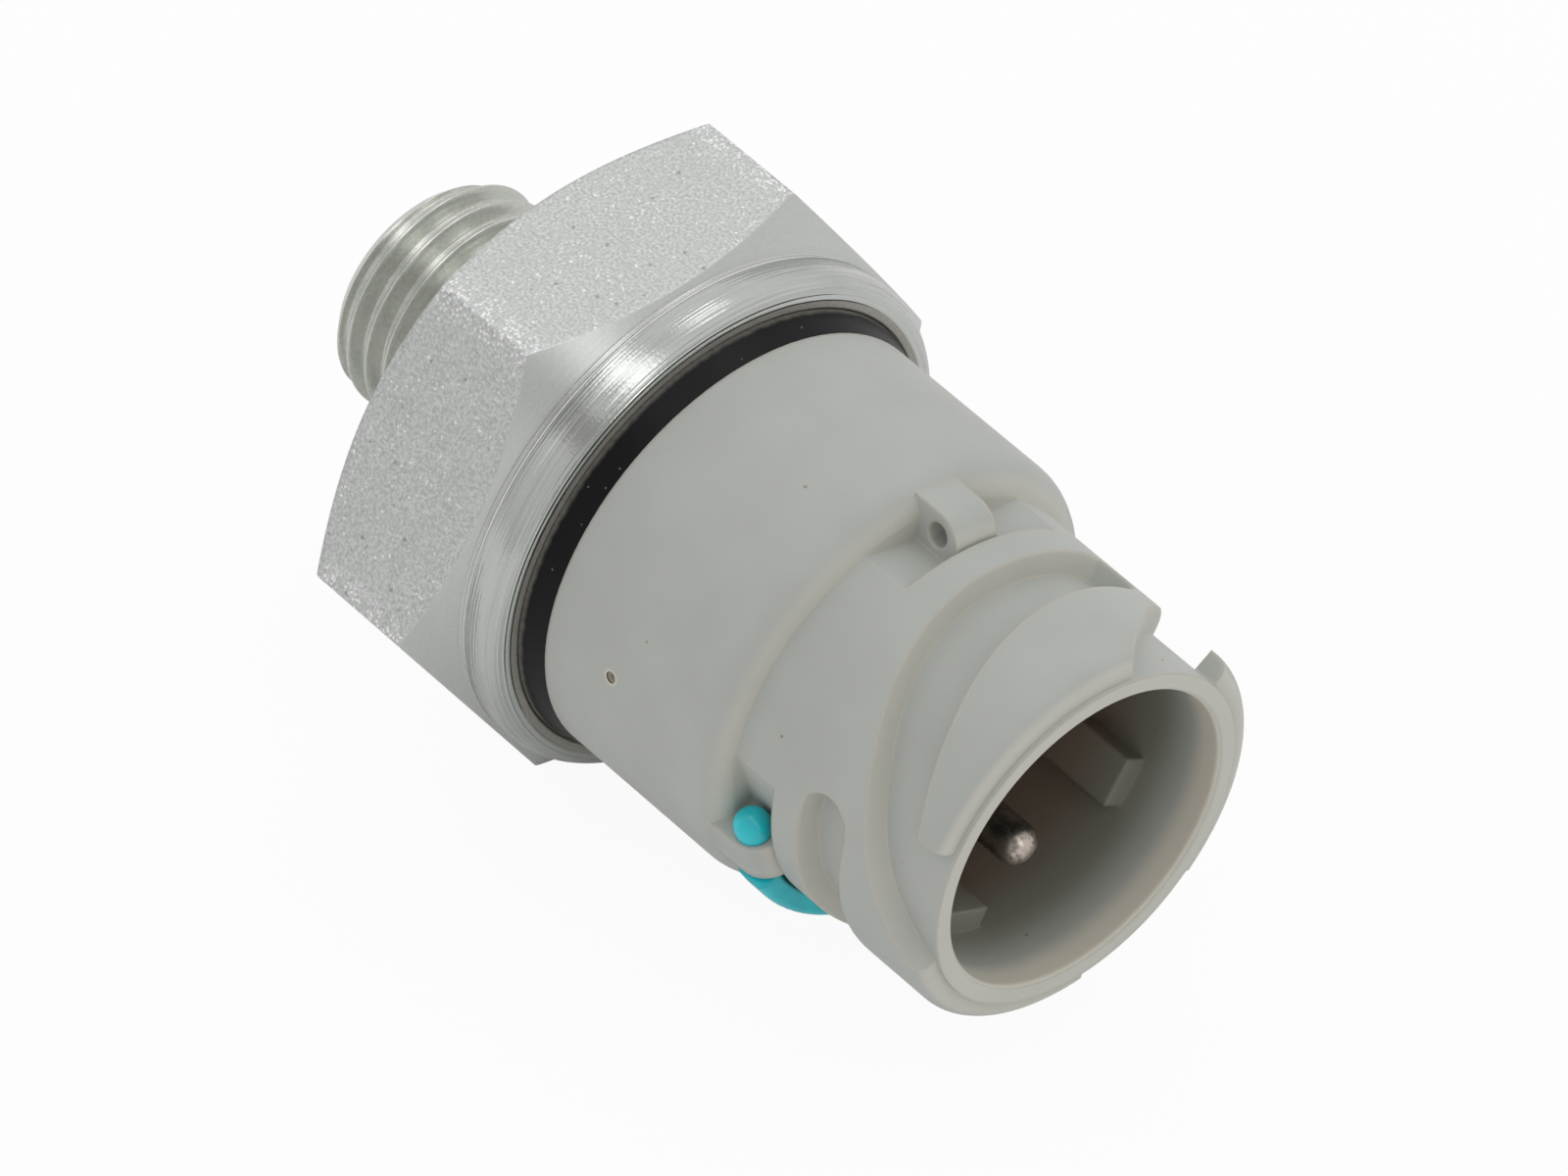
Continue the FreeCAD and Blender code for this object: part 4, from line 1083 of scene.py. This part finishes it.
class ContactPins:
    """The three round pins, which reach a little further forward than the plain ones of the frame."""

    FINISH = DullMetal("tinned_pin", from_srgb(150, 142, 132), 0.16)
    STEP = 5.625

    def __init__(self, sizes: PinSizes) -> None:
        """Take the sizes of the pins."""
        self.sizes = sizes

    def build(self, name: str, angle: float) -> bpy.types.Object:
        """Build one pin.

        Args:
            name: name of the piece.
            angle: where it stands round the axis, in degrees.

        Returns:
            The finished piece.
        """
        s = self.sizes
        surface = PolarSurface(np.arange(0, 360, self.STEP))
        nose = quarter_round(s.tip, s.radius, s.tip_round)
        surface.chain(surface.ring(s.tail, 0.0), [(s.tail, s.radius), *nose, (s.tip, 0.0)], 0)
        pin = surface.build(name, smooth_below=30.0)
        side = math.radians(angle)
        centre = (0.0, s.circle * MM * math.cos(side), s.circle * MM * math.sin(side))
        pin.data.transform(Matrix.Translation(centre))
        log.info("%s: %d faces", name, len(pin.data.polygons))
        return pin

    def fit(self) -> None:
        """Build and dress all the pins and give them their places in the frame."""
        finish = self.FINISH.material()
        for number, angle in enumerate(self.sizes.angles, 1):
            pin = self.build(f"plug_pin_{number}", angle)
            pin.data.materials.append(finish)
            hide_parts(f"contact_pin_{number}")
            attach(pin, "root")


class FrameFinishes:
    """Finishes of the pieces that come straight from the frame."""

    FINISHES: Mapping[tuple[str, ...], Finish] = {
        ("connector_housing",): MouldedGrey("moulded_grey", from_srgb(185, 187, 182), 0.5),
        ("colour_clip",): SoftPiece("moulded_turquoise", from_srgb(20, 204, 216), 0.3, coat=0.3,
                                    edge_round=0.3),
        ("housing_seal",): SealRubber("seal_rubber", from_srgb(5, 5, 7), 0.40),
        ("cell_seal",): SoftPiece("black_rubber", from_srgb(24, 24, 26), 0.55, mottle=0.3, gloss=0.2),
        ("contact_spring_1", "contact_spring_2", "contact_spring_3", "cell_leads"):
            DullMetal("tinned_strip", from_srgb(178, 172, 160), 0.25),
        ("damping_plug",): DullMetal("turned_brass", from_srgb(205, 176, 110), 0.25,
                                     tarnish=from_srgb(170, 140, 80)),
        ("backup_ring", "clamp_ring", "board_carrier"):
            SoftPiece("white_plastic", from_srgb(228, 226, 216), 0.45, mottle=0.03),
        ("pressure_cell", "board_capacitors"):
            SoftPiece("ceramic", from_srgb(236, 232, 220), 0.35, mottle=0.04),
        ("circuit_board",): SoftPiece("lacquered_board", from_srgb(36, 110, 60), 0.3, mottle=0.12, coat=0.4),
        ("signal_chip",): SoftPiece("chip_case", from_srgb(36, 36, 38), 0.5, mottle=0.2),
    }

    def dress(self, nodes: Mapping[str, bpy.types.Object]) -> None:
        """Assign a finish to every node of the frame that is still shown.

        Args:
            nodes: the frame's objects by name.
        """
        for names, finish in self.FINISHES.items():
            material = finish.material()
            for name in names:
                for slot in nodes[name].material_slots:
                    slot.material = material
                log.info("%s: %s", name, finish.name)


@dataclass(frozen=True)
class SkyStrip:
    """A long strip of the surroundings, along a great circle, that only glossy surfaces mirror."""
    across: Place
    inner: float
    outer: float
    tone: float


@dataclass(frozen=True)
class Lamp:
    """One soft area lamp, placed by the direction in which it stands from the sender."""
    name: str
    azimuth: float
    elevation: float
    distance: float
    side: float
    watts: float


class Studio:
    """Pale floor, soft lamps, white background and the camera."""

    LAMPS = (
        Lamp("key", 200.0, 62.0, 0.9, 0.30, 0.45),
        Lamp("fill", -60.0, 30.0, 1.0, 0.40, 0.15),
    )
    STRIPS = (
        SkyStrip((-0.069, 0.991, 0.110), 3.0, 11.0, 1.85),
        SkyStrip((0.002, 0.805, 0.593), 3.0, 9.0, 0.42),
    )
    NEAR_SIDE = 0.70
    FAR_SIDE = 0.86
    LOW_SHARE = 0.86
    AIM = Vector((0.016, 0.0, -0.002))
    CAMERA_PLACE = Vector((0.390995, -0.319833, 0.521655))
    CAMERA_LOOK = Vector((-0.519649, 0.446383, -0.728497))
    CAMERA_ROLL = math.radians(-0.12)
    FLOOR_Z = -0.016
    FLOOR_HALF = 3.0
    FLOOR_TONE: Colour = (0.96, 0.96, 0.96)
    FLOOR_GLOW = 0.93
    LENS = 308.35
    SENSOR = 36.0

    def floor(self) -> None:
        """Make the pale floor, which is white to the camera and still takes the sender's shadow."""
        half = self.FLOOR_HALF
        corners = [(-half, -half), (half, -half), (half, half), (-half, half)]
        mesh = bpy.data.meshes.new("floor")
        mesh.from_pydata([(x, y, self.FLOOR_Z) for x, y in corners], [], [(0, 1, 2, 3)])
        plane = bpy.data.objects.new("floor", mesh)
        bpy.context.scene.collection.objects.link(plane)
        material = bpy.data.materials.new("floor_paper")
        material.use_nodes = True
        graph = Graph(material.node_tree)
        plain = graph.out("ShaderNodeBsdfDiffuse", {}, {"Color": self.FLOOR_TONE})
        white = graph.out("ShaderNodeEmission", {}, {"Color": WHITE, "Strength": 1.0})
        glow = graph.ray("Is Camera Ray") * self.FLOOR_GLOW
        mixed = graph.out("ShaderNodeMixShader", {}, {0: glow, 1: plain, 2: white})
        graph.node("ShaderNodeOutputMaterial", {}, {"Surface": mixed})
        mesh.materials.append(material)

    def world(self) -> None:
        """Light the scene from all round: white to the camera, softer and banded for everything else."""
        world = bpy.data.worlds.new("studio")
        bpy.context.scene.world = world
        world.use_nodes = True
        graph = Graph(world.node_tree)
        direction = graph.out("ShaderNodeTexCoord", {}, {}, "Generated")
        _, side, up = graph.parts(direction)
        tone = side.rise(-0.6, 0.6) * (self.FAR_SIDE - self.NEAR_SIDE) + self.NEAR_SIDE
        tone = tone * (up.rise(0.0, 0.35) * (1 - self.LOW_SHARE) + self.LOW_SHARE)
        mirrored = graph.ray("Is Glossy Ray")
        for strip in self.STRIPS:
            across = Vector(strip.across).normalized()
            away = graph.blend("DOT_PRODUCT", direction, across, "Value").size()
            mask = away.rise(math.sin(math.radians(strip.outer)), math.sin(math.radians(strip.inner)))
            tone = tone + (strip.tone - tone) * mask * mirrored
        colour = graph.mix(graph.ray("Is Camera Ray"), graph.vector(tone, tone, tone), WHITE)
        background = graph.out("ShaderNodeBackground", {}, {"Color": colour, "Strength": 1.0})
        graph.node("ShaderNodeOutputWorld", {}, {"Surface": background})

    def lamps(self) -> None:
        """Place the lamps round the sender."""
        for lamp in self.LAMPS:
            azimuth, elevation = math.radians(lamp.azimuth), math.radians(lamp.elevation)
            outward = Vector((math.sin(azimuth) * math.cos(elevation),
                              -math.cos(azimuth) * math.cos(elevation), math.sin(elevation)))
            light = bpy.data.lights.new(lamp.name, "AREA")
            light.size = lamp.side
            light.energy = lamp.watts
            thing = bpy.data.objects.new(lamp.name, light)
            thing.location = self.AIM + outward * lamp.distance
            thing.rotation_euler = (-outward).to_track_quat("-Z", "Y").to_euler()
            bpy.context.scene.collection.objects.link(thing)
            log.info("lamp %s", lamp.name)

    def camera(self) -> None:
        """Place the camera as the photograph was taken."""
        data = bpy.data.cameras.new("camera")
        data.lens = self.LENS
        data.sensor_width = self.SENSOR
        data.clip_start = 0.01
        camera = bpy.data.objects.new("camera", data)
        camera.location = self.CAMERA_PLACE
        turn = self.CAMERA_LOOK.to_track_quat("-Z", "Y") @ Quaternion((0.0, 0.0, 1.0), self.CAMERA_ROLL)
        camera.rotation_euler = turn.to_euler()
        bpy.context.scene.collection.objects.link(camera)
        bpy.context.scene.camera = camera

    def build(self) -> None:
        """Set up the whole studio."""
        self.floor()
        self.world()
        self.lamps()
        self.camera()
        bpy.context.scene.view_settings.view_transform = "Standard"


def main() -> None:
    """Dress the frame, build the steel body, the pins and the studio."""
    logging.basicConfig(level=logging.INFO, format="%(name)s: %(message)s")
    FrameFinishes().dress(frame["nodes"])
    body = PortBody(PortSizes())
    body.dress(body.build())
    ContactPins(PinSizes()).fit()
    Studio().build()


if __name__ == "__main__":
    main()
